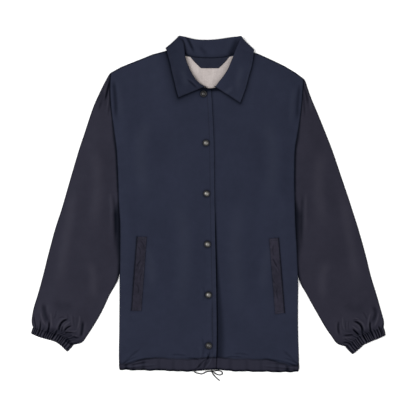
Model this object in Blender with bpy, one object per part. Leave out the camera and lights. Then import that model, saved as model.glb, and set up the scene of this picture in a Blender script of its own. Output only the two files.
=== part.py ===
"""A snap-front windbreaker laid flat on its back, modelled as the cut pieces that are sewn together.

The shell is lined nylon. Right and left are the wearer's: the right front is on the picture's left,
at -X, and laps over the left front. +Y points to the collar and +Z up from the surface that the
garment lies on. The tables and sizes are in millimetres, and the objects are placed in metres.
"""

import bmesh
import bpy
import numpy as np

MM = 0.001
# The middle of the garment in the tables, which the objects are placed about
MIDDLE = np.array([0.0, -1.14, 0.0])

# Cloth thicknesses, a lined shell for the body and a plain one for the sleeves
FRONT_WALL = 1.8
BACK_WALL = 1.8
SLEEVE_WALL = 1.5
COLLAR_WALL = 1.6
CUFF_WALL = 1.6
WELT_WALL = 1.3
LINING_WALL = 1.0
FACING_WALL = 1.0
SEAM_GAP = 0.4
# Two edges that meet in a curve keep a little more between them, and so does what lies on a panel
BUTT_GAP = 0.8
LAID_GAP = 0.6

# How the layers lie: the air between front and back, and what lifts a layer off the floor
BODY_PUFF = 2.6
SLEEVE_PUFF = 2.6
FOLD_GAP = 0.7
FOLD_REACH = 3.6
TUCK_LIFT = 4.3
LEAF_LIFT = 2.9
NECK_RISE = 1.7
LAP_RISE = FRONT_WALL + SEAM_GAP + 0.3
EDGE_LIFT = 2.4

# The front opening, its snaps and the drawstring hem
UNDER_EDGE = -23.0
SNAP_FROM_EDGE = 19.5
SNAP_TOP = 252.4
SNAP_SECOND = 140.1
SNAP_PITCH = 115.9
SNAP_COUNT = 6
SNAP_RADIUS = 7.5
SNAP_HEIGHT = 2.6
CHANNEL_HEIGHT = 25.0
CHANNEL_RAISE = 0.7
CORD_DIAMETER = 2.6
CORD_STEP = 3.2
NECK_CENTRE = 3.0


def placed(points):
    """Points of the tables, in metres about the middle of the garment."""
    return (np.asarray(points, float) - MIDDLE) * MM


def table(names, *rows):
    """Rows of numbers as one array for each named column."""
    return dict(zip(names, np.array(rows, float).T))


# The body's side edges, from the hem up to the shoulder tips
SIDES = table(
    ("height", "right", "left"),
    (-388, -204.5, 208.5),
    (-363, -205.0, 208.0),
    (-290, -204.5, 206.0),
    (-168, -204.0, 205.5),
    (-105, -204.0, 204.0),
    (-40, -205.0, 201.0),
    (10, -206.5, 199.0),
    (78, -208.0, 198.5),
    (128, -210.0, 200.0),
    (170, -217.0, 206.5),
    (215, -223.0, 213.0),
    (262, -226.0, 217.0),
    (301, -224.5, 219.5),
)
# The shoulder line, bridged over the neck
SHOULDERS = table(
    ("across", "height"),
    (-226, 300),
    (-200, 312.5),
    (-168, 326),
    (-129, 344),
    (-99, 350.6),
    (-78.7, 355),
    (0, 372),
    (80, 355.5),
    (103, 349.4),
    (117, 344.6),
    (147, 331),
    (174, 317.5),
    (199, 302.5),
    (221, 286),
)
HEM = table(
    ("across", "height"),
    (-206, -382),
    (-150, -383.5),
    (-60, -384),
    (-22, -381.5),
    (0, -379.6),
    (16, -379.2),
    (45, -382),
    (120, -385),
    (186, -387.3),
    (209, -384),
)
OVER_EDGE = table(
    ("height", "across"),
    (-381, 18.0),
    (-348, 19.5),
    (-198, 19.5),
    (-110, 17.8),
    (21, 15.6),
    (153, 14.0),
    (265, 8.0),
)
# The top boundary of each panel: share is how far along the panel's width, side seam first
RIGHT_FRONT_TOP = table(
    ("share", "across", "height"),
    (0.00, -224.5, 300.6),
    (0.12, -200, 312.5),
    (0.27, -168, 326),
    (0.42, -129, 344),
    (0.52, -99, 350.6),
    (0.59, -78.7, 355),
    (0.64, -74, 331),
    (0.68, -64, 310.5),
    (0.72, -51.5, 295),
    (0.76, -37.5, 281),
    (0.815, -22.5, 271.5),
    (0.86, -12, 267.5),
    (0.92, -1, 265.6),
    (1.00, 8, 265),
)
LEFT_FRONT_TOP = table(
    ("share", "across", "height"),
    (0.00, 219.3, 287.5),
    (0.08, 199, 302.5),
    (0.19, 174, 317.5),
    (0.31, 147, 331),
    (0.44, 117, 344.6),
    (0.50, 103, 349.4),
    (0.56, 80, 355.5),
    (0.61, 76, 331),
    (0.66, 65, 309.5),
    (0.71, 53, 293.5),
    (0.77, 37, 276),
    (0.83, 21, 268.5),
    (0.90, 6, 265.2),
    (1.00, -23, 263.5),
)
BACK_TOP = table(
    ("share", "across", "height"),
    (0.00, -224.5, 300.6),
    (0.06, -200, 312.5),
    (0.14, -168, 326),
    (0.23, -129, 344),
    (0.30, -99, 350.6),
    (0.34, -78.7, 355),
    (0.38, -58, 342),
    (0.44, -30, 335.5),
    (0.505, 3, 334),
    (0.57, 36, 335.5),
    (0.63, 62, 342),
    (0.67, 80, 355.5),
    (0.72, 103, 349.4),
    (0.76, 117, 344.6),
    (0.83, 147, 331),
    (0.89, 174, 317.5),
    (0.95, 199, 302.5),
    (1.00, 219.3, 287.5),
)
# Soft ridges and troughs of the body cloth, each along a line, with its half width and height
BODY_FOLDS = table(
    ("x0", "y0", "x1", "y1", "width", "height"),
    (-196, 250, -168, 60, 16, 0.7),
    (192, 236, 168, 40, 16, 0.7),
    (-120, 318, -170, 226, 13, -0.5),
    (124, 316, 166, 216, 13, -0.5),
    (-60, 190, -96, -60, 22, 0.5),
    (74, 170, 100, -80, 22, 0.5),
    (-116, -120, -96, -330, 18, -0.5),
    (108, -130, 92, -330, 18, -0.5),
    (-196, -372, -130, -330, 12, 0.6),
    (198, -374, 128, -326, 12, 0.6),
    (-34, -378, -24, -338, 7, 0.7),
)

# Sleeve sections from the armhole to the cuff: outer fold, inner edge, and whether the tube is closed
SLEEVE_COLUMNS = ("outer_x", "outer_y", "inner_x", "inner_y", "closed")
RIGHT_SLEEVE = table(
    SLEEVE_COLUMNS,
    (-231.6, 295.0, 0, 296.2, 0),
    (-246.6, 262.2, 0, 264.5, 0),
    (-265.0, 220.8, 0, 216.0, 0),
    (-283.4, 165.6, 0, 165.6, 0),
    (-297.2, 124.2, 0, 124.0, 0),
    (-315.6, 62.1, 0, 66.7, 0),
    (-330.0, 12.0, -207.8, 27.6, 1),
    (-339.0, -18.0, -204.6, -5.0, 1),
    (-351.2, -55.2, -200.0, -41.4, 1),
    (-366.2, -110.4, -199.0, -105.8, 1),
    (-380.0, -165.6, -206.5, -169.0, 1),
    (-391.5, -207.0, -229.0, -208.2, 1),
    (-400.7, -236.9, -250.5, -248.4, 1),
    (-405.3, -262.2, -269.5, -280.6, 1),
    (-405.2, -272.6, -281.5, -301.3, 1),
    (-404.2, -278.3, -291.5, -315.0, 1),
    (-402.3, -281.8, -309.1, -322.6, 1),
)
LEFT_SLEEVE = table(
    SLEEVE_COLUMNS,
    (222.9, 280.6, 0, 284.0, 0),
    (234.1, 248.4, 0, 253.0, 0),
    (251.4, 207.0, 0, 209.3, 0),
    (270.9, 158.7, 0, 161.0, 0),
    (285.9, 119.6, 0, 119.6, 0),
    (305.4, 62.1, 0, 66.7, 0),
    (322.4, 12.0, 200.1, 27.6, 1),
    (332.0, -18.0, 198.0, -5.0, 1),
    (344.5, -57.5, 195.2, -41.4, 1),
    (359.5, -110.4, 197.6, -105.8, 1),
    (373.3, -165.6, 208.2, -172.5, 1),
    (385.9, -207.0, 228.6, -209.3, 1),
    (395.1, -239.2, 251.2, -249.6, 1),
    (401.6, -262.2, 270.8, -282.9, 1),
    (403.2, -271.4, 284.6, -302.5, 1),
    (403.0, -278.3, 298.1, -318.5, 1),
    (402.3, -281.5, 313.7, -326.6, 1),
)
# Where the gathers run up the sleeve from the cuff: place across, reach, half width and height
SLEEVE_GATHERS = table(
    ("across", "reach", "width", "height", "lean"),
    (0.15, 60, 0.060, 1.8, 0.05),
    (0.33, 84, 0.060, 2.4, 0.02),
    (0.51, 96, 0.060, 2.8, -0.03),
    (0.68, 66, 0.055, 2.1, -0.04),
    (0.85, 76, 0.060, 2.0, -0.08),
)
CUFFS = {
    "right": table(
        ("outer_x", "outer_y", "inner_x", "inner_y", "swell"),
        (-402.5, -282.5, -309.9, -323.4, 0.0),
        (-405.2, -289.4, -315.0, -330.0, 1.0),
        (-406.9, -296.4, -323.2, -338.4, 0.3),
    ),
    "left": table(
        ("outer_x", "outer_y", "inner_x", "inner_y", "swell"),
        (402.5, -282.2, 314.4, -327.5, 0.0),
        (405.3, -291.2, 321.2, -335.4, 1.0),
        (406.9, -300.4, 330.5, -344.3, 0.3),
    ),
}
CUFF_WAVES = 9
CUFF_WAVE_HEIGHT = 2.4

# The collar: neck seam, roll line and leaf edge at each section from the centre front to the back
COLLAR_COLUMNS = (
    "neck_x",
    "neck_y",
    "neck_z",
    "roll_x",
    "roll_y",
    "roll_z",
    "leaf_x",
    "leaf_y",
    "turn",
)
COLLAR_RIGHT = table(
    COLLAR_COLUMNS,
    (-4.0, 267.9, 10.2, -8.6, 268.4, 13.6, -69.5, 243.2, 90),
    (-17.0, 271.9, 9.4, -20.0, 277.6, 14.0, -73.0, 258.8, 90),
    (-35.0, 282.8, 8.0, -32.7, 294.4, 14.4, -77.5, 278.3, 90),
    (-51.2, 299.8, 7.4, -42.3, 314.0, 15.2, -83.2, 301.3, 90),
    (-66.6, 322.6, 7.4, -49.2, 334.7, 15.8, -88.2, 324.3, 90),
    (-73.2, 342.0, 7.6, -53.6, 355.0, 16.0, -93.0, 341.0, 88),
    (-76.5, 351.0, 7.0, -58.2, 371.0, 15.2, -96.4, 353.8, 60),
    (-77.5, 359.0, 5.6, -64.6, 384.0, 13.4, -96.4, 357.4, 0),
    (-67.0, 353.0, 4.3, -56.0, 383.6, 12.0, -89.0, 354.2, -62),
    (-51.5, 343.6, 3.9, -42.0, 380.4, 11.6, -68.0, 332.0, -88),
    (-28.0, 337.4, 3.9, -23.0, 377.6, 11.6, -32.0, 318.5, -90),
    (3.0, 335.6, 3.9, 3.0, 377.2, 11.6, 3.0, 315.5, -90),
)
COLLAR_LEFT = table(
    COLLAR_COLUMNS,
    (12.6, 269.2, 8.8, 16.8, 267.6, 12.6, 76.4, 231.6, 90),
    (24.6, 272.2, 7.6, 25.0, 278.6, 13.4, 80.4, 246.1, 90),
    (38.0, 281.0, 7.6, 35.2, 291.1, 14.4, 86.3, 266.8, 90),
    (52.4, 298.2, 7.4, 45.3, 306.8, 15.2, 91.4, 287.5, 90),
    (67.2, 320.4, 7.4, 54.3, 329.9, 15.8, 98.8, 312.8, 90),
    (74.6, 342.0, 7.6, 63.0, 352.0, 16.0, 103.0, 336.0, 88),
    (78.0, 351.0, 7.0, 71.5, 370.0, 15.2, 106.0, 351.8, 60),
    (79.0, 359.0, 5.6, 78.0, 383.4, 13.4, 105.0, 355.6, 0),
    (70.0, 353.4, 4.3, 67.0, 383.0, 12.0, 96.0, 353.6, -62),
    (56.5, 343.6, 3.9, 49.0, 380.6, 11.6, 74.0, 331.0, -88),
    (34.0, 337.4, 3.9, 26.0, 378.4, 11.6, 38.0, 318.5, -90),
)
ROLL_RADIUS = 1.7

# Pocket welts, from top to bottom: the opening edge, which faces the side seam, and the sewn edge
WELT_COLUMNS = ("open_x", "open_y", "sewn_x", "sewn_y")
WELTS = {
    "right": table(WELT_COLUMNS, (-164.5, -75, -142.0, -75), (-177.0, -243.5, -154.5, -244)),
    "left": table(WELT_COLUMNS, (161.5, -77, 139.4, -79), (174.5, -248.5, 152.5, -251.5)),
}

# The drawstring's visible runs, each a hand-laid route through these points
CORD_ROUTES = {
    "drawcord_run": (
        (-31.6, -382.7, 4.0),
        (-31.4, -384.2, 3.7),
        (-29.8, -386.0, 2.8),
        (-26.0, -387.4, 1.8),
        (-21.0, -388.8, 1.45),
        (-16.0, -389.6, 1.45),
        (-11.5, -388.4, 1.45),
        (-7.4, -386.0, 1.7),
        (-3.0, -384.0, 2.5),
        (1.6, -383.2, 3.2),
        (5.65, -383.1, 3.5),
    ),
    "drawcord_loop": (
        (13.95, -382.2, 3.9),
        (17.5, -381.4, 3.6),
        (22.5, -381.7, 2.9),
        (27.5, -382.8, 2.1),
        (31.4, -385.2, 1.5),
        (32.2, -388.6, 1.45),
        (29.6, -391.2, 1.45),
        (25.4, -391.9, 1.45),
        (21.0, -391.0, 1.45),
        (16.6, -388.8, 1.9),
        (13.2, -385.9, 2.9),
    ),
    "drawcord_tail": (
        (9.6, -386.2, 3.0),
        (10.2, -388.8, 2.2),
        (12.6, -392.2, 1.45),
        (16.6, -396.6, 1.45),
        (21.0, -400.8, 1.45),
        (26.4, -405.0, 1.45),
    ),
}
KNOT = dict(centre=(9.8, -383.1, 3.5), half=(4.0, 2.9, 3.4))

# The lining that shows through the neck, and the shaped facing at the back of the neck
LINING = dict(half_width=92.0, foot=212.0)
FACING = dict(centre=6.6, top_half=43.0, foot_half=20.8, foot=313.6)

COLOURS = {
    "shell": ((0.025, 0.028, 0.049), 0.55, 0.0),
    "sleeve_shell": ((0.031, 0.029, 0.044), 0.5, 0.0),
    "lining": ((0.52, 0.46, 0.45), 0.9, 0.0),
    "facing": ((0.022, 0.024, 0.040), 0.6, 0.0),
    "snap_metal": ((0.07, 0.065, 0.062), 0.35, 0.9),
    "drawcord": ((0.012, 0.012, 0.016), 0.8, 0.0),
}


def smooth(places, values, at):
    """A smooth curve through the values, by cubic steps between them."""
    at = np.clip(at, places[0], places[-1])
    slopes = np.gradient(values, places)
    i = np.clip(np.searchsorted(places, at, side="right") - 1, 0, len(places) - 2)
    step = places[i + 1] - places[i]
    t = (at - places[i]) / step
    return (
        (2 * t**3 - 3 * t**2 + 1) * values[i]
        + (t**3 - 2 * t**2 + t) * step * slopes[i]
        + (-2 * t**3 + 3 * t**2) * values[i + 1]
        + (t**3 - t**2) * step * slopes[i + 1]
    )


def ramp(distance, width):
    """0 below nothing, 1 past the width, and soft between."""
    t = np.clip(distance / width, 0, 1)
    return t * t * (3 - 2 * t)


def side_x(side, height):
    return smooth(SIDES["height"], SIDES[side], height)


def hem_y(across):
    return smooth(HEM["across"], HEM["height"], across)


def side_distance(x, y):
    return np.where(x < 0, x - side_x("right", y), side_x("left", y) - x)


def top_distance(x, y):
    return 0.92 * (np.interp(x, SHOULDERS["across"], SHOULDERS["height"]) - y)


def body_folds(x, y):
    """The sum of the soft ridges, each a bell across its line and faded at its ends."""
    total = np.zeros(np.broadcast(x, y).shape)
    for x0, y0, x1, y1, width, height in zip(*BODY_FOLDS.values()):
        length = np.hypot(x1 - x0, y1 - y0)
        along = ((x - x0) * (x1 - x0) + (y - y0) * (y1 - y0)) / length**2
        off = ((x - x0) * (y1 - y0) - (y - y0) * (x1 - x0)) / length
        total += height * np.exp(-((off / width) ** 2)) * ramp(along, 0.3) * ramp(1 - along, 0.3)
    return total


def back_bottom(x, y):
    """The back's underside: on the floor, but for the tucked sleeves and the collar leaf under it."""
    in_tuck = ramp(42 - y, 50) * ramp(y + 212, 34)
    tuck = TUCK_LIFT * in_tuck * (1 - ramp(side_distance(x, y) - 14, 30))
    leaf = LEAF_LIFT * ramp(y - 236, 70) * (1 - ramp(np.abs(x - NECK_CENTRE) - 100, 70))
    return tuck + leaf


def front_bottom(x, y):
    """The fronts' underside: seamed to the back at the edges, and a little puffed between them."""
    below_seam = top_distance(x, y)
    neck = (1 - ramp(np.abs(x - NECK_CENTRE) - 98, 34)) * ramp(y - 176, 40) * ramp(below_seam - 1, 12)
    edges = ramp(side_distance(x, y), 36) * ramp(below_seam, 34)
    hem = 0.35 + 0.65 * ramp(y - hem_y(x) - 20, 70)
    puff = edges * (BODY_PUFF * hem + body_folds(x, y))
    return back_bottom(x, y) + BACK_WALL + SEAM_GAP + NECK_RISE * neck + puff


def lap(x, y):
    """How far the right front is raised: over the left front, and at its free edge lower down."""
    edge = smooth(OVER_EDGE["height"], OVER_EDGE["across"], y)
    over = (LAP_RISE + channel(x, y)) * ramp(x - (UNDER_EDGE - 22), 18)
    lifted = EDGE_LIFT * ramp(-20 - y, 130) * ramp(y + 392, 60) * ramp(x - edge + 24, 20)
    return over + lifted


def channel(x, y):
    """The hem's drawstring channel, raised and slightly gathered."""
    height = y - hem_y(x)
    ripple = 0.25 * np.sin(x / 6.5) + 0.2 * np.sin(x / 3.9 + 1)
    return (CHANNEL_RAISE + ripple) * ramp(CHANNEL_HEIGHT + 1 - height, 5)


def front_top(side, x, y):
    raised = lap(x, y) if side == "right" else 0
    return front_bottom(x, y) + FRONT_WALL + raised + channel(x, y)


def patch(hem, top, first, last):
    """A four-sided sheet filled in from its boundary curves, each an array of points in plan."""
    u = hem[1][:, None]
    v = first[1][None, :]
    grid = []
    for k in (0, 1):
        low, high = hem[0][:, k][:, None], top[0][:, k][:, None]
        near, far = first[0][:, k][None, :], last[0][:, k][None, :]
        corners = (
            (1 - u) * (1 - v) * low[0]
            + u * (1 - v) * low[-1]
            + (1 - u) * v * high[0]
            + u * v * high[-1]
        )
        grid.append((1 - v) * low + v * high + (1 - u) * near + u * far - corners)
    return np.stack(grid, axis=-1)


def solid(name, outer, inner, material, wrap_from=None):
    """A cloth wall between two grids of points. From row wrap_from on, the last column joins the first."""
    rows, columns = outer.shape[:2]
    points = placed(np.concatenate([outer.reshape(-1, 3), inner.reshape(-1, 3)]))
    back = rows * columns
    wrap_from = rows if wrap_from is None else wrap_from

    def at(i, j, side):
        return i * columns + j % columns + side * back

    faces = []
    for i in range(rows - 1):
        for j in range(columns - (i < wrap_from)):
            quad = [(i, j), (i, j + 1), (i + 1, j + 1), (i + 1, j)]
            faces.append([at(a, b, 0) for a, b in quad])
            faces.append([at(a, b, 1) for a, b in reversed(quad)])
        if i < wrap_from:
            for j, ends in ((0, (i, i + 1)), (columns - 1, (i + 1, i))):
                a, b = ends
                faces.append([at(a, j, 0), at(b, j, 0), at(b, j, 1), at(a, j, 1)])
    for i, wraps in ((0, wrap_from == 0), (rows - 1, wrap_from < rows - 1)):
        for j in range(columns - (not wraps)):
            a, b = (j, j + 1) if i else (j + 1, j)
            faces.append([at(i, a, 0), at(i, b, 0), at(i, b, 1), at(i, a, 1)])
    if 0 < wrap_from < rows - 1:
        k, last = wrap_from, columns - 1
        faces.append([at(k, last, 0), at(k, last, 1), at(k, 0, 1), at(k, 0, 0)])
    mesh = bpy.data.meshes.new(name)
    mesh.from_pydata(points.tolist(), [], faces)
    shaped = bmesh.new()
    shaped.from_mesh(mesh)
    bmesh.ops.recalc_face_normals(shaped, faces=shaped.faces)
    shaped.to_mesh(mesh)
    shaped.free()
    return add(name, mesh, material)


def add(name, mesh, material):
    """Puts a mesh in the scene. A further copy of the same mesh brings no material of its own."""
    piece = bpy.data.objects.new(name, mesh)
    bpy.context.scene.collection.objects.link(piece)
    if material:
        mesh.materials.append(material)
        mesh.shade_smooth()
        mesh.set_sharp_from_angle(angle=0.7)
    return piece


def material_of(name):
    colour, roughness, metallic = COLOURS[name]
    made = bpy.data.materials.new(name)
    made.use_nodes = True
    shader = made.node_tree.nodes["Principled BSDF"]
    shader.inputs["Base Color"].default_value = (*colour, 1)
    shader.inputs["Roughness"].default_value = roughness
    shader.inputs["Metallic"].default_value = metallic
    return made


# Shares across a front, closer together at the side seam and at the lap
FRONT_SHARES = np.array(
    [0, 0.03, 0.065, 0.11, 0.17, 0.25, 0.34, 0.44, 0.52, 0.59, 0.64, 0.69, 0.75, 0.815, 0.87, 0.94, 1]
)
BACK_SHARES = np.array(
    [0, 0.016, 0.034, 0.06, 0.1, 0.15, 0.21, 0.28, 0.34, 0.38, 0.44, 0.505, 0.57, 0.63, 0.67, 0.73]
    + [0.79, 0.85, 0.9, 0.94, 0.966, 0.984, 1]
)
HEIGHT_SHARES = np.array(
    [0, 0.032, 0.04, 0.08, 0.14, 0.2, 0.245, 0.285, 0.33, 0.39, 0.45, 0.51, 0.55, 0.59, 0.64, 0.69]
    + [0.74, 0.79, 0.83, 0.86, 0.89, 0.92, 0.945, 0.97, 1]
)


def panel_plan(top, first, last, shares):
    """A panel's grid in plan, between its two long edges, the hem and its top boundary."""
    crown = np.stack([np.interp(shares, top["share"], top[k]) for k in ("across", "height")], axis=1)
    foot_x = first(-384.0) + shares * (last(-384.0) - first(-384.0))
    foot = np.stack([foot_x, hem_y(foot_x)], axis=1)

    def edge(curve, end):
        y = foot[end, 1] + HEIGHT_SHARES * (crown[end, 1] - foot[end, 1])
        return np.stack([curve(y), y], axis=1)

    near, far = edge(first, 0), edge(last, -1)
    crown[0], crown[-1] = near[-1], far[-1]
    foot[0], foot[-1] = near[0], far[0]
    return patch((foot, shares), (crown, shares), (near, HEIGHT_SHARES), (far, HEIGHT_SHARES))


def make_body(shell):
    def right_side(y):
        return side_x("right", y)

    def left_side(y):
        return side_x("left", y)

    def over_edge(y):
        return smooth(OVER_EDGE["height"], OVER_EDGE["across"], y)

    def under_edge(y):
        return np.full(np.shape(y), UNDER_EDGE)

    plan = panel_plan(BACK_TOP, right_side, left_side, BACK_SHARES)
    x, y = plan[..., 0], plan[..., 1]
    low = back_bottom(x, y)
    solid("back_panel", stack(x, y, low + BACK_WALL), stack(x, y, low), shell)

    for side, top, first, last in (
        ("right", RIGHT_FRONT_TOP, right_side, over_edge),
        ("left", LEFT_FRONT_TOP, left_side, under_edge),
    ):
        plan = panel_plan(top, first, last, FRONT_SHARES)
        x, y = plan[..., 0], plan[..., 1]
        raised = lap(x, y) if side == "right" else 0
        solid(
            f"front_{side}",
            stack(x, y, front_top(side, x, y)),
            stack(x, y, front_bottom(x, y) + raised),
            shell,
        )


def stack(x, y, z):
    return np.stack(np.broadcast_arrays(x, y, z), axis=-1)


# Shares across a sleeve's upper layer, from its inner edge to its outer fold, and back underneath
SLEEVE_ACROSS = np.array(
    [0, 0.012, 0.04, 0.09, 0.15, 0.21, 0.27, 0.33, 0.39, 0.45, 0.51, 0.57, 0.625, 0.68, 0.735, 0.79, 0.85]
    + [0.91, 0.965, 0.99, 1]
)
SLEEVE_UNDER = np.array([0.99, 0.95, 0.75, 0.5, 0.25, 0.05, 0.01])
SLEEVE_ROWS = 17


def tube(outer_x, outer_y, inner_x, inner_y, closed, wall, puff, raised, across, under):
    """A flattened tube's outer and inner walls, row by row along it.

    Across runs from the inner edge over the top to the outer fold, and under runs back along the floor.
    An edge is a half ellipse whose height is two walls and the gap between them."""
    thick = 2 * wall + FOLD_GAP
    shares = np.concatenate([across, under])[None, :]
    upper = (np.arange(shares.size) < len(across))[None, :]
    width = np.hypot(outer_x - inner_x, outer_y - inner_y)[:, None]
    closed = closed[:, None]

    def bulge(share, reach):
        """How full the edge ellipses are at each share, 0 at a fold and 1 in the flat."""
        from_outer = np.clip((1 - share) * width / reach, 0, 1)
        from_inner = np.clip(share * width / reach, 0, 1)
        outer_full = np.sqrt(1 - (1 - from_outer) ** 2)
        inner_full = np.sqrt(1 - (1 - from_inner) ** 2)
        return outer_full * (closed * inner_full + 1 - closed)

    def ring(inset, height, middle, extra):
        """Points of one wall, its edges set in by inset and its half height about the middle."""
        end_inset = inset * closed / width
        share = end_inset + shares * (1 - inset / width - end_inset)
        x = inner_x[:, None] + share * (outer_x - inner_x)[:, None]
        y = inner_y[:, None] + share * (outer_y - inner_y)[:, None]
        full = bulge((share - end_inset) / (1 - inset / width - end_inset), FOLD_REACH)
        z = middle + np.where(upper, 1, -1) * height * full
        return stack(x, y, z + np.where(upper, extra, 0))

    rise = puff[:, None] * ramp(shares * width - 14 * closed, 34) * ramp((1 - shares) * width, 34)
    outer = ring(0, thick / 2, thick / 2, rise + raised)
    inner = ring(wall, FOLD_GAP / 2, thick / 2, rise + raised)
    return outer, inner


def sleeve_rows(side, sections):
    """The sleeve's sections at even steps, its inner edge on the armhole while that is open."""
    count = len(sections["closed"])
    closing = int(np.argmax(sections["closed"]))
    places = np.arange(count, dtype=float)
    at = np.unique(np.concatenate([np.linspace(0, count - 1, SLEEVE_ROWS), [closing]]))
    outer_x, outer_y, inner_x, inner_y = (
        smooth(places, sections[k], at) for k in ("outer_x", "outer_y", "inner_x", "inner_y")
    )
    toward = -1 if side == "right" else 1
    on_armhole = side_x(side, inner_y) + toward * BUTT_GAP
    below = smooth(places[closing:], sections["inner_x"][closing:], at)
    inner_x = np.where(at < closing, on_armhole, below)
    return outer_x, outer_y, inner_x, inner_y, (at >= closing).astype(float), at, closing


def make_sleeve(side, sections, shell):
    outer_x, outer_y, inner_x, inner_y, closed, at, closing = sleeve_rows(side, sections)
    middle_x, middle_y = (outer_x + inner_x) / 2, (outer_y + inner_y) / 2
    steps = np.hypot(np.diff(middle_x), np.diff(middle_y))
    to_cuff = np.concatenate([np.cumsum(steps[::-1])[::-1], [0]])
    puff = SLEEVE_PUFF * ramp(to_cuff + 24, 60)
    shares = np.concatenate([SLEEVE_ACROSS, SLEEVE_UNDER])[None, :]
    raised = np.zeros((len(at), shares.size))
    for place, reach, width, height, lean in zip(*SLEEVE_GATHERS.values()):
        off = shares - place - lean * to_cuff[:, None] / 60
        fade = ramp(reach - to_cuff, reach)[:, None]
        raised += height * fade * np.exp(-((off / width) ** 2))
    raised *= ramp(shares, 0.05) * ramp(1 - shares, 0.05)
    ends = (outer_x, outer_y, inner_x, inner_y, closed)
    outer, inner = tube(*ends, SLEEVE_WALL, puff, raised, SLEEVE_ACROSS, SLEEVE_UNDER)
    solid(f"sleeve_{side}", outer, inner, shell, wrap_from=int(np.argmax(at == closing)))


def make_cuff(side, sections, shell):
    """A short elastic tube whose top is gathered into even waves."""
    waves = np.linspace(0.02, 0.98, CUFF_WAVES * 4 + 1)
    across = np.concatenate([[0, 0.008], waves, [0.992, 1]])
    under = np.array([0.99, 0.95, 0.75, 0.5, 0.25, 0.05, 0.01])
    shares = np.concatenate([across, under])[None, :]
    swell = sections["swell"][:, None]
    wave = 1 - np.cos((shares - 0.02) / 0.96 * 2 * np.pi * CUFF_WAVES)
    raised = (0.4 + 0.6 * swell) * CUFF_WAVE_HEIGHT / 2 * wave
    raised *= ramp(shares, 0.04) * ramp(1 - shares, 0.04)
    puff = 0.3 + 0.6 * sections["swell"]
    ends = [sections[k] for k in ("outer_x", "outer_y", "inner_x", "inner_y")]
    outer, inner = tube(*ends, np.ones(len(puff)), CUFF_WALL, puff, raised, across, under)
    solid(f"cuff_{side}", outer, inner, shell, wrap_from=0)


def collar_rows(count):
    """The collar's key points from its right end round the back to its left end."""
    joined = {k: np.concatenate([COLLAR_RIGHT[k], COLLAR_LEFT[k][::-1]]) for k in COLLAR_COLUMNS}
    places = np.arange(len(joined["turn"]), dtype=float)
    at = np.linspace(0, places[-1], count)
    return {k: smooth(places, v, at) for k, v in joined.items()}


def collar_middle(rows, stand_steps, roll_steps, leaf_steps):
    """The middle surface of the collar: up the stand, round the roll line and down the leaf."""
    neck = np.stack([rows["neck_x"], rows["neck_y"], rows["neck_z"]], axis=1)
    roll = np.stack([rows["roll_x"], rows["roll_y"], rows["roll_z"]], axis=1)
    up = roll - neck
    up[:, 2] = 0
    up /= np.linalg.norm(up, axis=1)[:, None]
    turn = np.radians(rows["turn"])
    aside = np.stack([rows["leaf_x"], rows["leaf_y"]], axis=1) - roll[:, :2]
    aside /= np.linalg.norm(aside, axis=1)[:, None]
    out = np.concatenate([aside * np.cos(turn)[:, None], np.sin(turn)[:, None]], axis=1)
    centre = roll - ROLL_RADIUS * up
    inside, outside = centre - ROLL_RADIUS * out, centre + ROLL_RADIUS * out

    stand = np.linspace(0, 1, stand_steps)[None, :, None]
    part_stand = neck[:, None] * (1 - stand) + inside[:, None] * stand
    arc = np.radians(np.linspace(-90, 90, roll_steps + 2)[1:-1])[None, :, None]
    around = np.cos(arc) * up[:, None] + np.sin(arc) * out[:, None]
    part_roll = centre[:, None] + ROLL_RADIUS * around
    leaf = np.linspace(0, 1, leaf_steps)[None, :]
    x = outside[:, :1] * (1 - leaf) + rows["leaf_x"][:, None] * leaf
    y = outside[:, 1:2] * (1 - leaf) + rows["leaf_y"][:, None] * leaf
    over = front_top("right", x, y) * (x < 0) + front_top("left", x, y) * (x >= 0)
    rest_over = over + SEAM_GAP + 0.2 + COLLAR_WALL / 2
    rest_under = np.full(x.shape, COLLAR_WALL / 2 + 0.05)
    share_over = (np.sin(turn)[:, None] + 1) / 2
    rest = rest_over * share_over + rest_under * (1 - share_over)
    fall = (1 - leaf) ** (3.6 - 1.8 * share_over)
    z = rest + (outside[:, 2:3] - rest[:, :1]) * fall
    part_leaf = stack(x, y, z)
    return np.concatenate([part_stand, part_roll, part_leaf], axis=1)


def offset_walls(middle, wall):
    """Two grids half a wall either side of a middle grid, along its normals."""
    along = np.gradient(middle, axis=0)
    across = np.gradient(middle, axis=1)
    normal = np.cross(along, across)
    normal /= np.linalg.norm(normal, axis=2)[:, :, None]
    return middle + normal * wall / 2, middle - normal * wall / 2


def make_collar(shell):
    middle = collar_middle(collar_rows(45), 3, 3, 6)
    outer, inner = offset_walls(middle, COLLAR_WALL)
    solid("collar", outer, inner, shell)


def make_welt(side, shell):
    """A welt strip laid on the front's own points, moved out."""
    down = np.linspace(0, 1, 11)[:, None]
    over = np.linspace(0, 1, 3)[None, :]
    x, y = (
        (1 - over) * np.interp(down, (0, 1), WELTS[side]["open_" + k])
        + over * np.interp(down, (0, 1), WELTS[side]["sewn_" + k])
        for k in "xy"
    )
    low = front_top(side, x, y) + LAID_GAP
    solid(f"pocket_welt_{side}", stack(x, y, low + WELT_WALL), stack(x, y, low), shell)


def make_lining(lining):
    """The part of the back lining that shows in the neck, on the inside of the back."""
    across = NECK_CENTRE + np.linspace(-1, 1, 11) * LINING["half_width"]
    crown = np.interp(across, BACK_TOP["across"], BACK_TOP["height"]) - 1.0
    shoulder = np.interp(across, SHOULDERS["across"], SHOULDERS["height"]) - 16
    crown = np.minimum(crown, shoulder)
    down = np.linspace(0, 1, 8)[None, :]
    x = np.repeat(across[:, None], 8, axis=1)
    y = crown[:, None] * (1 - down) + LINING["foot"] * down
    low = back_bottom(x, y) + BACK_WALL + 0.4
    solid("back_lining", stack(x, y, low + LINING_WALL), stack(x, y, low), lining)


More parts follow.
